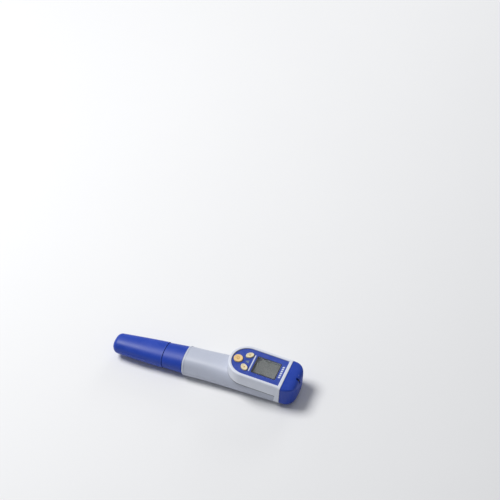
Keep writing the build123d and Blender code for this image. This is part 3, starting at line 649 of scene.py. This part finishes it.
def shifted(outline, along, across=0.0):
    """An outline moved along and across the face."""
    return [(along + u, across + v) for u, v in outline]


def turned(outline, centre, turn):
    """An outline turned about the origin and moved to a centre."""
    cosine, sine = math.cos(turn), math.sin(turn)
    return shifted([(u * cosine - v * sine, u * sine + v * cosine) for u, v in outline], *centre)


def rounded_outline(half_long, half_wide, radius, steps=8):
    """Points round a rectangle with round corners."""
    points = []
    for quarter in range(4):
        side_long = 1 if quarter in (0, 3) else -1
        side_wide = 1 if quarter in (0, 1) else -1
        for step in range(steps + 1):
            angle = math.pi / 2 * (quarter + step / steps)
            along = side_long * (half_long - radius) + radius * math.cos(angle)
            across = side_wide * (half_wide - radius) + radius * math.sin(angle)
            points.append((along, across))
    return points


def print_slab(shape, outline, level):
    """A thin printed shape on the face, from a level up."""
    slab(shape, on_face(outline, level), on_face(outline, level + sizes().print_depth))


def print_frame(shape, outline, hole, level):
    """A thin printed border on the face, from a level up."""
    top = level + sizes().print_depth
    corners = ((outline, level), (outline, top), (hole, top), (hole, level))
    rings = [ring_of(shape, on_face(points, height)) for points, height in corners]
    skin(shape, rings + rings[:1])


# ---------------------------------------------------------------- operators

LABEL_LINES = 5
LABEL_LINE_PITCH = 2.2 * MM


class PROBE_OT_housing(bpy.types.Operator):
    """Finish the handle, the bezel with its painted highlight, the seam gasket whose black is partly painted
    shade, and the label on the back
    """

    bl_idname = "probe.housing"
    bl_label = "Housing"

    def execute(self, context):
        dress("rear_housing", "Grey shell")
        # The bezel's lighter grey is painted highlight for its lit rim.
        dress("front_housing", "Grey bezel")
        # The gasket's black rubber is partly painted shade: it stands in for the shadow line under the bezel's
        # overhang.
        dress("housing_gasket", "Seal rubber")
        dress("rating_label", "Label film")
        low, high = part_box("rating_label")
        middle = (low + high) / 2
        lines = repeated(
            "label_lines",
            slanted_mark(sizes().print_line, high.y - low.y, sizes().print_depth),
            (LABEL_LINES, 1),
            (LABEL_LINE_PITCH, 0.0),
            "Label print",
            lambda co: Vector((middle.x + co.x, middle.y + co.y, low.z - co.z)),
        )
        lines.flip_normals()
        finish_mesh("label_lines", lines, "housing", smooth=False)
        return {"FINISHED"}


class PROBE_OT_caps(bpy.types.Operator):
    """Finish the protective cap, the collar and the battery cap with its lanyard pin"""

    bl_idname = "probe.caps"
    bl_label = "Caps and collar"

    def execute(self, context):
        for node in ("protective_cap", "collar", "battery_cap"):
            dress(node, "Blue shell")
        dress("lanyard_pin", "Dark steel")
        return {"FINISHED"}


class PROBE_OT_sensor(bpy.types.Operator):
    """Finish the electrode stem, its pins and its plug"""

    bl_idname = "probe.sensor"
    bl_label = "Sensor module"

    def execute(self, context):
        dress("sensor_body", "Stem plastic")
        dress("electrode_pins", "Steel")
        dress("temperature_sensor", "Steel")
        dress("connector_pins", "Gold plate")
        dress("sensor_socket", "Black plastic")
        dress("sensor_flex", "Flex film")
        return {"FINISHED"}


# The seals' outlines: 2 is an oval, and more is squarer.
SEALS = (("collar_seal", 2.2), ("cap_seal", 2.2), ("battery_cap_seal", 3.6))
SEAL_STEPS = 96
SECTION_STEPS = 16
SECTION_SQUASH = 0.62


def squarish(half_wide, half_high, power):
    """Points round an oval whose sides grow flatter as the power rises."""
    points = []
    for angle in turns(SEAL_STEPS):
        across = math.copysign(abs(math.cos(angle)) ** (2 / power), math.cos(angle))
        up = math.copysign(abs(math.sin(angle)) ** (2 / power), math.sin(angle))
        points.append((across * half_wide, up * half_high))
    return points


class PROBE_OT_seals(bpy.types.Operator):
    """Model the three round-section seals"""

    bl_idname = "probe.seals"
    bl_label = "Seals"

    def execute(self, context):
        for node, power in SEALS:
            low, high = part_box(node)
            centre = (low + high) / 2
            half = (high - low) / 2
            shape = bmesh.new()
            rings = []
            for angle in turns(SECTION_STEPS):
                inset = half.x * SECTION_SQUASH * (1 - math.cos(angle))
                offset = half.x * math.sin(angle)
                outline = squarish(half.y - inset, half.z - inset, power)
                rings.append(ring_of(shape, [centre + Vector((offset, y, z)) for y, z in outline]))
            skin(shape, rings + rings[:1])
            finish_piece(node + "_round", shape, "Seal rubber", BODY_OF[node], (node,))
        return {"FINISHED"}


KEYS = {
    "power_button": ("Round key", "orange_key"),
    "left_button": ("Oval key", "cream_key"),
    "right_button": ("Oval key", "cream_key"),
}
KEY_STEPS = 64
KEY_EDGE_STEPS = 6
KEY_DISH_STEPS = 10
KEY_TOP_BAND = 2.0 * MM
KEY_STEM_RADIUS = 1.2 * MM
FLANGE_RISE = 1.1 * MM
FLANGE_THICK = 0.75 * MM
FLANGE_REACH = 0.8 * MM
ARROW_TIP = 1.15 * MM
ARROW_HALF = 0.95 * MM
MARK_RADIUS = 1.6 * MM
MARK_STROKE = 0.42 * MM
MARK_GAP = math.radians(38)
MARK_STEPS = 28
MARK_BAR_START = 0.2 * MM


def mark_outlines(node):
    """The outlines of a key's printed mark about the key's middle."""
    if node != "power_button":
        tip = ARROW_TIP if node == "left_button" else -ARROW_TIP
        return [[(tip, 0.0), (-tip / 2, ARROW_HALF), (-tip / 2, -ARROW_HALF)]]
    open_turn = 2 * math.pi - 2 * MARK_GAP
    angles = [MARK_GAP + open_turn * step / MARK_STEPS for step in range(MARK_STEPS + 1)]
    inner_radius = MARK_RADIUS - MARK_STROKE
    outer = [(MARK_RADIUS * math.cos(angle), MARK_RADIUS * math.sin(angle)) for angle in angles]
    inner = [(inner_radius * math.cos(angle), inner_radius * math.sin(angle)) for angle in reversed(angles)]
    half = MARK_STROKE / 2
    bar = [(MARK_BAR_START, -half), (MARK_RADIUS, -half), (MARK_RADIUS, half), (MARK_BAR_START, half)]
    return [outer + inner, bar]


def key_outline(node):
    """A key's middle, half sizes and turn, measured near its top."""
    top = reach(node, OUT)[1]
    points = [vertex.co for vertex in NODES[node].data.vertices if vertex.co.dot(OUT) > top - KEY_TOP_BAND]
    us = [point.dot(ALONG) - FACE_END for point in points]
    vs = [point.dot(ACROSS) for point in points]
    centre = ((min(us) + max(us)) / 2, (min(vs) + max(vs)) / 2)
    arms = [Vector((u - centre[0], v - centre[1])) for u, v in zip(us, vs)]
    longest = max(arms, key=lambda arm: arm.length)
    turn = math.atan2(longest.y, longest.x)
    half_wide = max(abs(arm.y * math.cos(turn) - arm.x * math.sin(turn)) for arm in arms)
    return centre, longest.length, half_wide, turn


def key_profile(half_long, half_wide, low, high):
    """A key's rings from its stem to its dish: each one's half sizes and level."""
    edge, dish = sizes().key_edge, sizes().dish
    under = low + FLANGE_RISE
    over = under + FLANGE_THICK
    profile = [(KEY_STEM_RADIUS, KEY_STEM_RADIUS, level) for level in (low, under)]
    profile += [(half_long + FLANGE_REACH, half_wide + FLANGE_REACH, level) for level in (under, over)]
    profile += [(half_long, half_wide, level) for level in (over, high - edge)]
    for step in range(1, KEY_EDGE_STEPS + 1):
        angle = math.pi / 2 * step / KEY_EDGE_STEPS
        inset = edge * (1 - math.cos(angle))
        profile.append((half_long - inset, half_wide - inset, high - edge + edge * math.sin(angle)))
    for step in range(1, KEY_DISH_STEPS):
        share = step / KEY_DISH_STEPS
        inset = edge + (half_wide - edge) * share
        hollow = dish * (1 - math.cos(math.pi * min(2 * share, 1.0))) / 2
        profile.append((half_long - inset, half_wide - inset, high - hollow))
    return profile


class PROBE_OT_keys(bpy.types.Operator):
    """Model the three keys with round edges and dished tops"""

    bl_idname = "probe.keys"
    bl_label = "Keys"

    def execute(self, context):
        for node, (finish, slot) in KEYS.items():
            centre, half_long, half_wide, turn = key_outline(node)
            low, high = [level - FACE_TOP for level in reach(node, OUT)]
            dish_floor = high - sizes().dish
            shape = bmesh.new()
            rings = []
            for long_half, wide_half, level in key_profile(half_long, half_wide, low, high):
                outline = turned(oval(long_half, wide_half, KEY_STEPS), centre, turn)
                rings.append(ring_of(shape, on_face(outline, level)))
            skin(shape, rings)
            close_ring(shape, rings[0], face_point(*centre, low))
            close_ring(shape, rings[-1], face_point(*centre, dish_floor))
            finish_piece(node + "_top", shape, finish, node, (node,))
            mark = bmesh.new()
            for outline in mark_outlines(node):
                print_slab(mark, turned(outline, centre, turn), dish_floor)
            finish_piece(node + "_mark", mark, "Key mark", node, smooth=False)
        return {"FINISHED"}


# The printed bar lies beside the window, and the triangle between the oval keys.
BAR_GAP = 2.2 * MM
BAR_HALF = 0.6 * MM
BAR_SHORTER = 0.2 * MM
BAR_CORNER = 0.5 * MM
STRIP_MARKS = 6
STRIP_SHIFT = 0.8 * MM
TRIANGLE = ((1.9 * MM, 2.0 * MM), (-2.1 * MM, 0.0), (1.9 * MM, -2.0 * MM))


class PROBE_OT_panel(bpy.types.Operator):
    """Finish the face panel and print its marks"""

    bl_idname = "probe.panel"
    bl_label = "Face panel"

    def execute(self, context):
        dress("face_panel", "Blue panel")
        dress("keypad_mat", "Mat rubber")
        dress("snap_domes", "Steel")
        window_low, window_high = reach("display_window", ALONG)
        half_wide = reach("display_window", ACROSS)[1]

        shape = bmesh.new()
        bar = rounded_outline(BAR_HALF, half_wide - BAR_SHORTER, BAR_CORNER, 3)
        print_slab(shape, shifted(bar, window_low - FACE_END - BAR_GAP), PANEL_TOP)
        finish_piece("panel_bar", shape, "Pale print", "housing", smooth=False)

        strip_u = (window_high + reach("face_panel", ALONG)[1]) / 2 - FACE_END
        marks = repeated(
            "strip_marks",
            slanted_mark(sizes().mark_height, sizes().mark_pitch, sizes().print_depth),
            (1, STRIP_MARKS),
            (0.0, sizes().mark_pitch),
            "Pale print",
            lambda co: face_point(strip_u + co.x, STRIP_SHIFT + co.y, PANEL_TOP + co.z),
        )
        finish_mesh("strip_marks", marks, "housing", smooth=False)

        shape = bmesh.new()
        print_slab(shape, shifted(TRIANGLE, middle_on_face("left_button")[0]), PANEL_TOP)
        finish_piece("panel_print_grey", shape, "Grey print", "housing", smooth=False)
        return {"FINISHED"}


# A leaning mark's half width and lean, as shares of its pitch.
MARK_WIDTH_SHARE = 0.36
MARK_LEAN_SHARE = 0.14


def slanted_mark(height, pitch, depth):
    """One leaning block as a closed thin slab."""
    half = height / 2
    wide = pitch * MARK_WIDTH_SHARE
    lean = pitch * MARK_LEAN_SHARE
    outline = [(-half, -wide - lean), (half, -wide + lean), (half, wide + lean), (-half, wide - lean)]
    shape = bmesh.new()
    slab(shape, [(x, y, 0.0) for x, y in outline], [(x, y, depth) for x, y in outline])
    return as_mesh("slanted_mark", shape)


# Each segment of a digit: its middle along and across the digit, and whether it lies across.
SEGMENTS = (
    (0.5, 0.0, True),
    (0.0, 0.0, True),
    (-0.5, 0.0, True),
    (0.25, 0.5, False),
    (0.25, -0.5, False),
    (-0.25, 0.5, False),
    (-0.25, -0.5, False),
)

DIGITS = 3
DIGIT_WIDTH_SHARE = 0.5
SEGMENT_SHARE = 0.09
SEGMENT_GAP = 1.3
DIGIT_SHIFT = 1.0 * MM
DIGIT_LIFT = 0.015 * MM


def segment_mesh(height):
    """One digit's seven bars as a flat mesh, upright along +X."""
    shape = bmesh.new()
    width = height * DIGIT_WIDTH_SHARE
    thick = height * SEGMENT_SHARE
    for up, side, lies in SEGMENTS:
        half = ((width if lies else height / 2) - thick * SEGMENT_GAP) / 2
        point = half - thick / 2
        bar = [(-half, 0), (-point, thick / 2), (point, thick / 2)]
        bar += [(half, 0), (point, -thick / 2), (-point, -thick / 2)]
        placed = [(-y, x) for x, y in bar] if lies else bar
        ring = ring_of(shape, [(x, y, 0.0) for x, y in shifted(placed, up * height, side * width)])
        shape.faces.new(ring)
    return as_mesh("digit_bars", shape, outwards=False)


def repeat_group():
    """Geometry group that repeats an object over a grid and gives it a material."""
    tree = bpy.data.node_groups.new("Repeat on a grid", "GeometryNodeTree")
    wanted = (
        ("Source", "NodeSocketObject"),
        ("Count Along", "NodeSocketInt"),
        ("Count Across", "NodeSocketInt"),
        ("Pitch Along", "NodeSocketFloat"),
        ("Pitch Across", "NodeSocketFloat"),
        ("Jitter", "NodeSocketFloat"),
        ("Seed", "NodeSocketInt"),
        ("Finish", "NodeSocketMaterial"),
    )
    tree.interface.new_socket("Geometry", in_out="INPUT", socket_type="NodeSocketGeometry")
    for label, kind in wanted:
        tree.interface.new_socket(label, in_out="INPUT", socket_type=kind)
    tree.interface.new_socket("Geometry", in_out="OUTPUT", socket_type="NodeSocketGeometry")
    start = tree.nodes.new("NodeGroupInput")
    finish = tree.nodes.new("NodeGroupOutput")
    read = start.outputs

    last_along = maths(tree, "SUBTRACT", read["Count Along"], 1.0)
    last_across = maths(tree, "SUBTRACT", read["Count Across"], 1.0)
    span_along = maths(tree, "MULTIPLY", read["Pitch Along"], last_along)
    span_across = maths(tree, "MULTIPLY", read["Pitch Across"], last_across)
    grid = add_node(
        tree,
        "GeometryNodeMeshGrid",
        {
            "Size X": span_along,
            "Size Y": span_across,
            "Vertices X": read["Count Along"],
            "Vertices Y": read["Count Across"],
        },
    )
    source = add_node(tree, "GeometryNodeObjectInfo", {"Object": read["Source"]})
    instances = add_node(
        tree,
        "GeometryNodeInstanceOnPoints",
        {"Points": grid.outputs["Mesh"], "Instance": source.outputs["Geometry"]},
    )
    shift = add_node(tree, "FunctionNodeRandomValue", {"Seed": read["Seed"]}, data_type="FLOAT_VECTOR")
    spread = add_node(tree, "ShaderNodeVectorMath", operation="SCALE")
    tree.links.new(shift.outputs[0], spread.inputs[0])
    tree.links.new(read["Jitter"], spread.inputs["Scale"])
    moved = add_node(
        tree,
        "GeometryNodeTranslateInstances",
        {"Instances": instances.outputs["Instances"], "Translation": spread.outputs["Vector"]},
    )
    real = add_node(tree, "GeometryNodeRealizeInstances", {"Geometry": moved.outputs["Instances"]})
    painted = add_node(
        tree, "GeometryNodeSetMaterial", {"Geometry": real.outputs["Geometry"], "Material": read["Finish"]}
    )
    tree.links.new(painted.outputs["Geometry"], finish.inputs["Geometry"])
    return tree


def repeated(name, source_mesh, counts, pitches, finish, place, jitter=0.0, seed=1):
    """A plain mesh of a source repeated over a grid and put in place by a function of its points."""
    tree = bpy.data.node_groups.get("Repeat on a grid") or repeat_group()
    source = bpy.data.objects.new(name + "_source", source_mesh)
    bpy.context.scene.collection.objects.link(source)
    holder = bpy.data.objects.new(name + "_holder", bpy.data.meshes.new(name + "_holder"))
    bpy.context.scene.collection.objects.link(holder)
    modifier = holder.modifiers.new("Repeat", "NODES")
    modifier.node_group = tree
    values = {
        "Source": source,
        "Count Along": counts[0],
        "Count Across": counts[1],
        "Pitch Along": pitches[0],
        "Pitch Across": pitches[1],
        "Jitter": jitter,
        "Seed": seed,
        "Finish": material(finish),
    }
    for item in tree.interface.items_tree:
        if item.in_out == "INPUT" and item.name in values:
            modifier[item.identifier] = values[item.name]
    graph = bpy.context.evaluated_depsgraph_get()
    mesh = bpy.data.meshes.new_from_object(holder.evaluated_get(graph))
    holder.modifiers.clear()
    bpy.data.objects.remove(holder)
    bpy.data.objects.remove(source)
    if not mesh.vertices:
        raise RuntimeError(name + " came out empty")
    for vertex in mesh.vertices:
        vertex.co = place(vertex.co)
    mesh.name = name
    return mesh


# The border stops just short of the window's edge, and its corners are these round.
BORDER_INSET = 0.1 * MM
BORDER_CORNER = 1.2 * MM
BORDER_INNER_CORNER = 0.7 * MM


class PROBE_OT_display(bpy.types.Operator):
    """Finish the window and the display, with its border and its resting digits"""

    bl_idname = "probe.display"
    bl_label = "Display"

    def execute(self, context):
        dress("display_window", "Clear window")
        dress("display_glass", "Display polariser")
        dress("display_holder", "White plastic")
        dress("contact_strips", "Seal rubber")
        window = middle_on_face("display_window")
        halves = [(high - low) / 2 for low, high in (reach("display_window", way) for way in (ALONG, ACROSS))]
        outer_long, outer_wide = [half - BORDER_INSET for half in halves]
        inner_long, inner_wide = [half - BORDER_INSET - sizes().border for half in halves]
        outer = rounded_outline(outer_long, outer_wide, BORDER_CORNER)
        inner = rounded_outline(inner_long, inner_wide, BORDER_INNER_CORNER)
        shape = bmesh.new()
        print_frame(shape, shifted(outer, *window), shifted(inner, *window), WINDOW_TOP)
        finish_piece("window_border", shape, "Window border", "housing", smooth=False)

        digits = repeated(
            "display_digits",
            segment_mesh(sizes().digit_height),
            (1, DIGITS),
            (0.0, sizes().digit_pitch),
            "Ghost segments",
            lambda co: face_point(window[0] + DIGIT_SHIFT + co.x, window[1] + co.y, GLASS_TOP + DIGIT_LIFT),
        )
        finish_mesh("display_digits", digits, "housing", smooth=False)
        return {"FINISHED"}


DOME_SIDES = 12
DOME_LEVELS = 5
DOME_HEIGHT_SHARE = 0.4
JOINTS_PER_ROW = 12
JOINT_ROWS = 2
JOINT_ROW_GAP = 23.0 * MM
JOINT_JITTER = 0.08 * MM
JOINT_SEED = 7


def dome_mesh(width):
    """A small round solder joint, flat below."""
    shape = bmesh.new()
    rings = []
    top = width * DOME_HEIGHT_SHARE
    for step in range(DOME_LEVELS):
        angle = math.pi / 2 * step / DOME_LEVELS
        radius, height = width / 2 * math.cos(angle), top * math.sin(angle)
        rings.append(ring_of(shape, [(x, y, height) for x, y in oval(radius, radius, DOME_SIDES)]))
    skin(shape, rings)
    close_ring(shape, rings[-1], (0.0, 0.0, top))
    close_ring(shape, rings[0], (0.0, 0.0, 0.0))
    return as_mesh("solder_dome", shape)


class PROBE_OT_electronics(bpy.types.Operator):
    """Finish the circuit board, its parts and its rows of solder joints"""

    bl_idname = "probe.electronics"
    bl_label = "Electronics"

    def execute(self, context):
        finishes = {
            "main_board": "Solder mask",
            "board_screws": "Steel",
            "controller_chip": "Chip plastic",
            "measuring_chip": "Chip plastic",
            "clock_crystal": "Steel",
            "flex_connector": "White plastic",
            "capacitors": "Capacitor",
            "battery_leads": "Lead insulation",
        }
        for node, finish in finishes.items():
            dress(node, finish)
        board_low = reach("main_board", OUT)[0] - FACE_TOP
        strip_u = middle_on_face("contact_strips")[0]
        joints = repeated(
            "solder_joints",
            dome_mesh(sizes().joint_size),
            (JOINTS_PER_ROW, JOINT_ROWS),
            (sizes().joint_pitch, JOINT_ROW_GAP),
            "Solder",
            lambda co: face_point(strip_u + co.x, co.y, board_low - co.z),
            jitter=JOINT_JITTER,
            seed=JOINT_SEED,
        )
        joints.flip_normals()
        finish_mesh("solder_joints", joints, "housing")
        return {"FINISHED"}


# A button cell's outline: how far each point lies inside its radius and from its nearer end.
CELL_COUNT = 4
CELL_STEPS = 72
CELL_CAN = ((1.3 * MM, 0.05 * MM), (0.6 * MM, 0.0), (0.25 * MM, 0.08 * MM), (0.0, 0.45 * MM))
CELL_TOP = (
    (0.0, 1.1 * MM),
    (0.12 * MM, 0.75 * MM),
    (0.45 * MM, 0.5 * MM),
    (0.75 * MM, 0.6 * MM),
    (0.85 * MM, 0.5 * MM),
    (0.95 * MM, 0.2 * MM),
    (1.25 * MM, 0.0),
)


class PROBE_OT_battery(bpy.types.Operator):
    """Finish the battery bay, the tray and its contacts, and model the button cells"""

    bl_idname = "probe.battery"
    bl_label = "Battery"

    def execute(self, context):
        for node in ("battery_bay", "battery_tray"):
            dress(node, "Black plastic")
        for node in ("bay_contacts", "tray_contacts"):
            dress(node, "Gold plate")
        for index in range(1, CELL_COUNT + 1):
            node = "button_cell_" + str(index)
            low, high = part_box(node)
            centre = (low + high) / 2
            radius, half = (high.z - low.z) / 2, (high.y - low.y) / 2
            profile = [(radius - inset, rise - half) for inset, rise in CELL_CAN]
            profile += [(radius - inset, half - fall) for inset, fall in CELL_TOP]
            profile.append((radius / 2, half))
            shape = bmesh.new()
            rings = []
            for arm, level in profile:
                circle = oval(arm, arm, CELL_STEPS)
                rings.append(ring_of(shape, [centre + Vector((x, level, z)) for x, z in circle]))
            skin(shape, rings)
            close_ring(shape, rings[0], centre + Vector((0.0, profile[0][1], 0.0)))
            close_ring(shape, rings[-1], centre + Vector((0.0, half, 0.0)))
            finish_piece(node + "_can", shape, "Cell steel", BODY_OF[node], (node,))
        return {"FINISHED"}


# Where the camera stands, in metres and degrees.
CAMERA_PLACE = (0.5671, -0.9943, 1.3221)
CAMERA_TURN = (44.47, 5.01, 21.74)
CAMERA_LENS = 124.75
CAMERA_SENSOR = 36.0
CAMERA_CLIP = (0.05, 20.0)
FLOOR_HALF = 3.0
SKY_COLOUR = (0.90, 0.93, 1.0, 1.0)
SKY_STRENGTH = 0.27

# Each light's name, place, width and power.
LIGHTS = (
    ("key_softbox", (-0.90, 0.12, 1.55), 0.9, 29.5),
    ("back_softbox", (0.15, 1.5, 0.55), 0.7, 4.0),
)


class PROBE_OT_stage(bpy.types.Operator):
    """Lay the studio floor and set the lights and the camera"""

    bl_idname = "probe.stage"
    bl_label = "Stage"

    def execute(self, context):
        scene = context.scene
        corners = [(FLOOR_HALF * x, FLOOR_HALF * y, 0) for x, y in ((-1, -1), (1, -1), (1, 1), (-1, 1))]
        mesh = bpy.data.meshes.new("studio_floor")
        mesh.from_pydata(corners, [], [(0, 1, 2, 3)])
        floor = bpy.data.objects.new("studio_floor", mesh)
        mesh.materials.append(material("Studio floor"))
        scene.collection.objects.link(floor)

        scene.view_settings.view_transform = "Standard"
        world = bpy.data.worlds.new("Soft studio")
        world.use_nodes = True
        sky = world.node_tree.nodes["Background"]
        sky.inputs["Color"].default_value = SKY_COLOUR
        sky.inputs["Strength"].default_value = SKY_STRENGTH
        scene.world = world

        aim = (CAD_BOX[0] + CAD_BOX[1]) / 2
        for name, place, size, power in LIGHTS:
            data = bpy.data.lights.new(name, "AREA")
            data.shape = "DISK"
            data.size = size
            data.energy = power
            lamp = bpy.data.objects.new(name, data)
            lamp.location = place
            lamp.rotation_euler = (aim - Vector(place)).to_track_quat("-Z", "Y").to_euler()
            scene.collection.objects.link(lamp)

        view = bpy.data.cameras.new("camera")
        view.lens = CAMERA_LENS
        view.sensor_width = CAMERA_SENSOR
        view.clip_start, view.clip_end = CAMERA_CLIP
        camera = bpy.data.objects.new("camera", view)
        camera.location = CAMERA_PLACE
        camera.rotation_euler = Euler([math.radians(angle) for angle in CAMERA_TURN], "XYZ")
        scene.collection.objects.link(camera)
        scene.camera = camera
        return {"FINISHED"}


STEPS = (
    PROBE_OT_housing,
    PROBE_OT_caps,
    PROBE_OT_sensor,
    PROBE_OT_seals,
    PROBE_OT_keys,
    PROBE_OT_panel,
    PROBE_OT_display,
    PROBE_OT_electronics,
    PROBE_OT_battery,
    PROBE_OT_stage,
)


class PROBE_PT_panel(bpy.types.Panel):
    """Lists the probe's pieces and its settings"""

    bl_label = "Water quality probe"
    bl_idname = "PROBE_PT_panel"
    bl_space_type = "VIEW_3D"
    bl_region_type = "UI"
    bl_category = "Probe"

    def draw(self, context):
        for step in STEPS:
            self.layout.operator(step.bl_idname)
        for group in (context.scene.probe_colours, context.scene.probe_sizes):
            column = self.layout.column(align=True)
            for name in group.__annotations__:
                column.prop(group, name)


CLASSES = (ProbeColours, ProbeSizes) + STEPS + (PROBE_PT_panel,)


def register():
    for item in CLASSES:
        bpy.utils.register_class(item)
    bpy.types.Scene.probe_colours = bpy.props.PointerProperty(type=ProbeColours)
    bpy.types.Scene.probe_sizes = bpy.props.PointerProperty(type=ProbeSizes)


def unregister():
    del bpy.types.Scene.probe_sizes
    del bpy.types.Scene.probe_colours
    for item in reversed(CLASSES):
        bpy.utils.unregister_class(item)


def main():
    register()
    for step in STEPS:
        section, action = step.bl_idname.split(".")
        getattr(getattr(bpy.ops, section), action)()


if __name__ == "__main__":
    main()
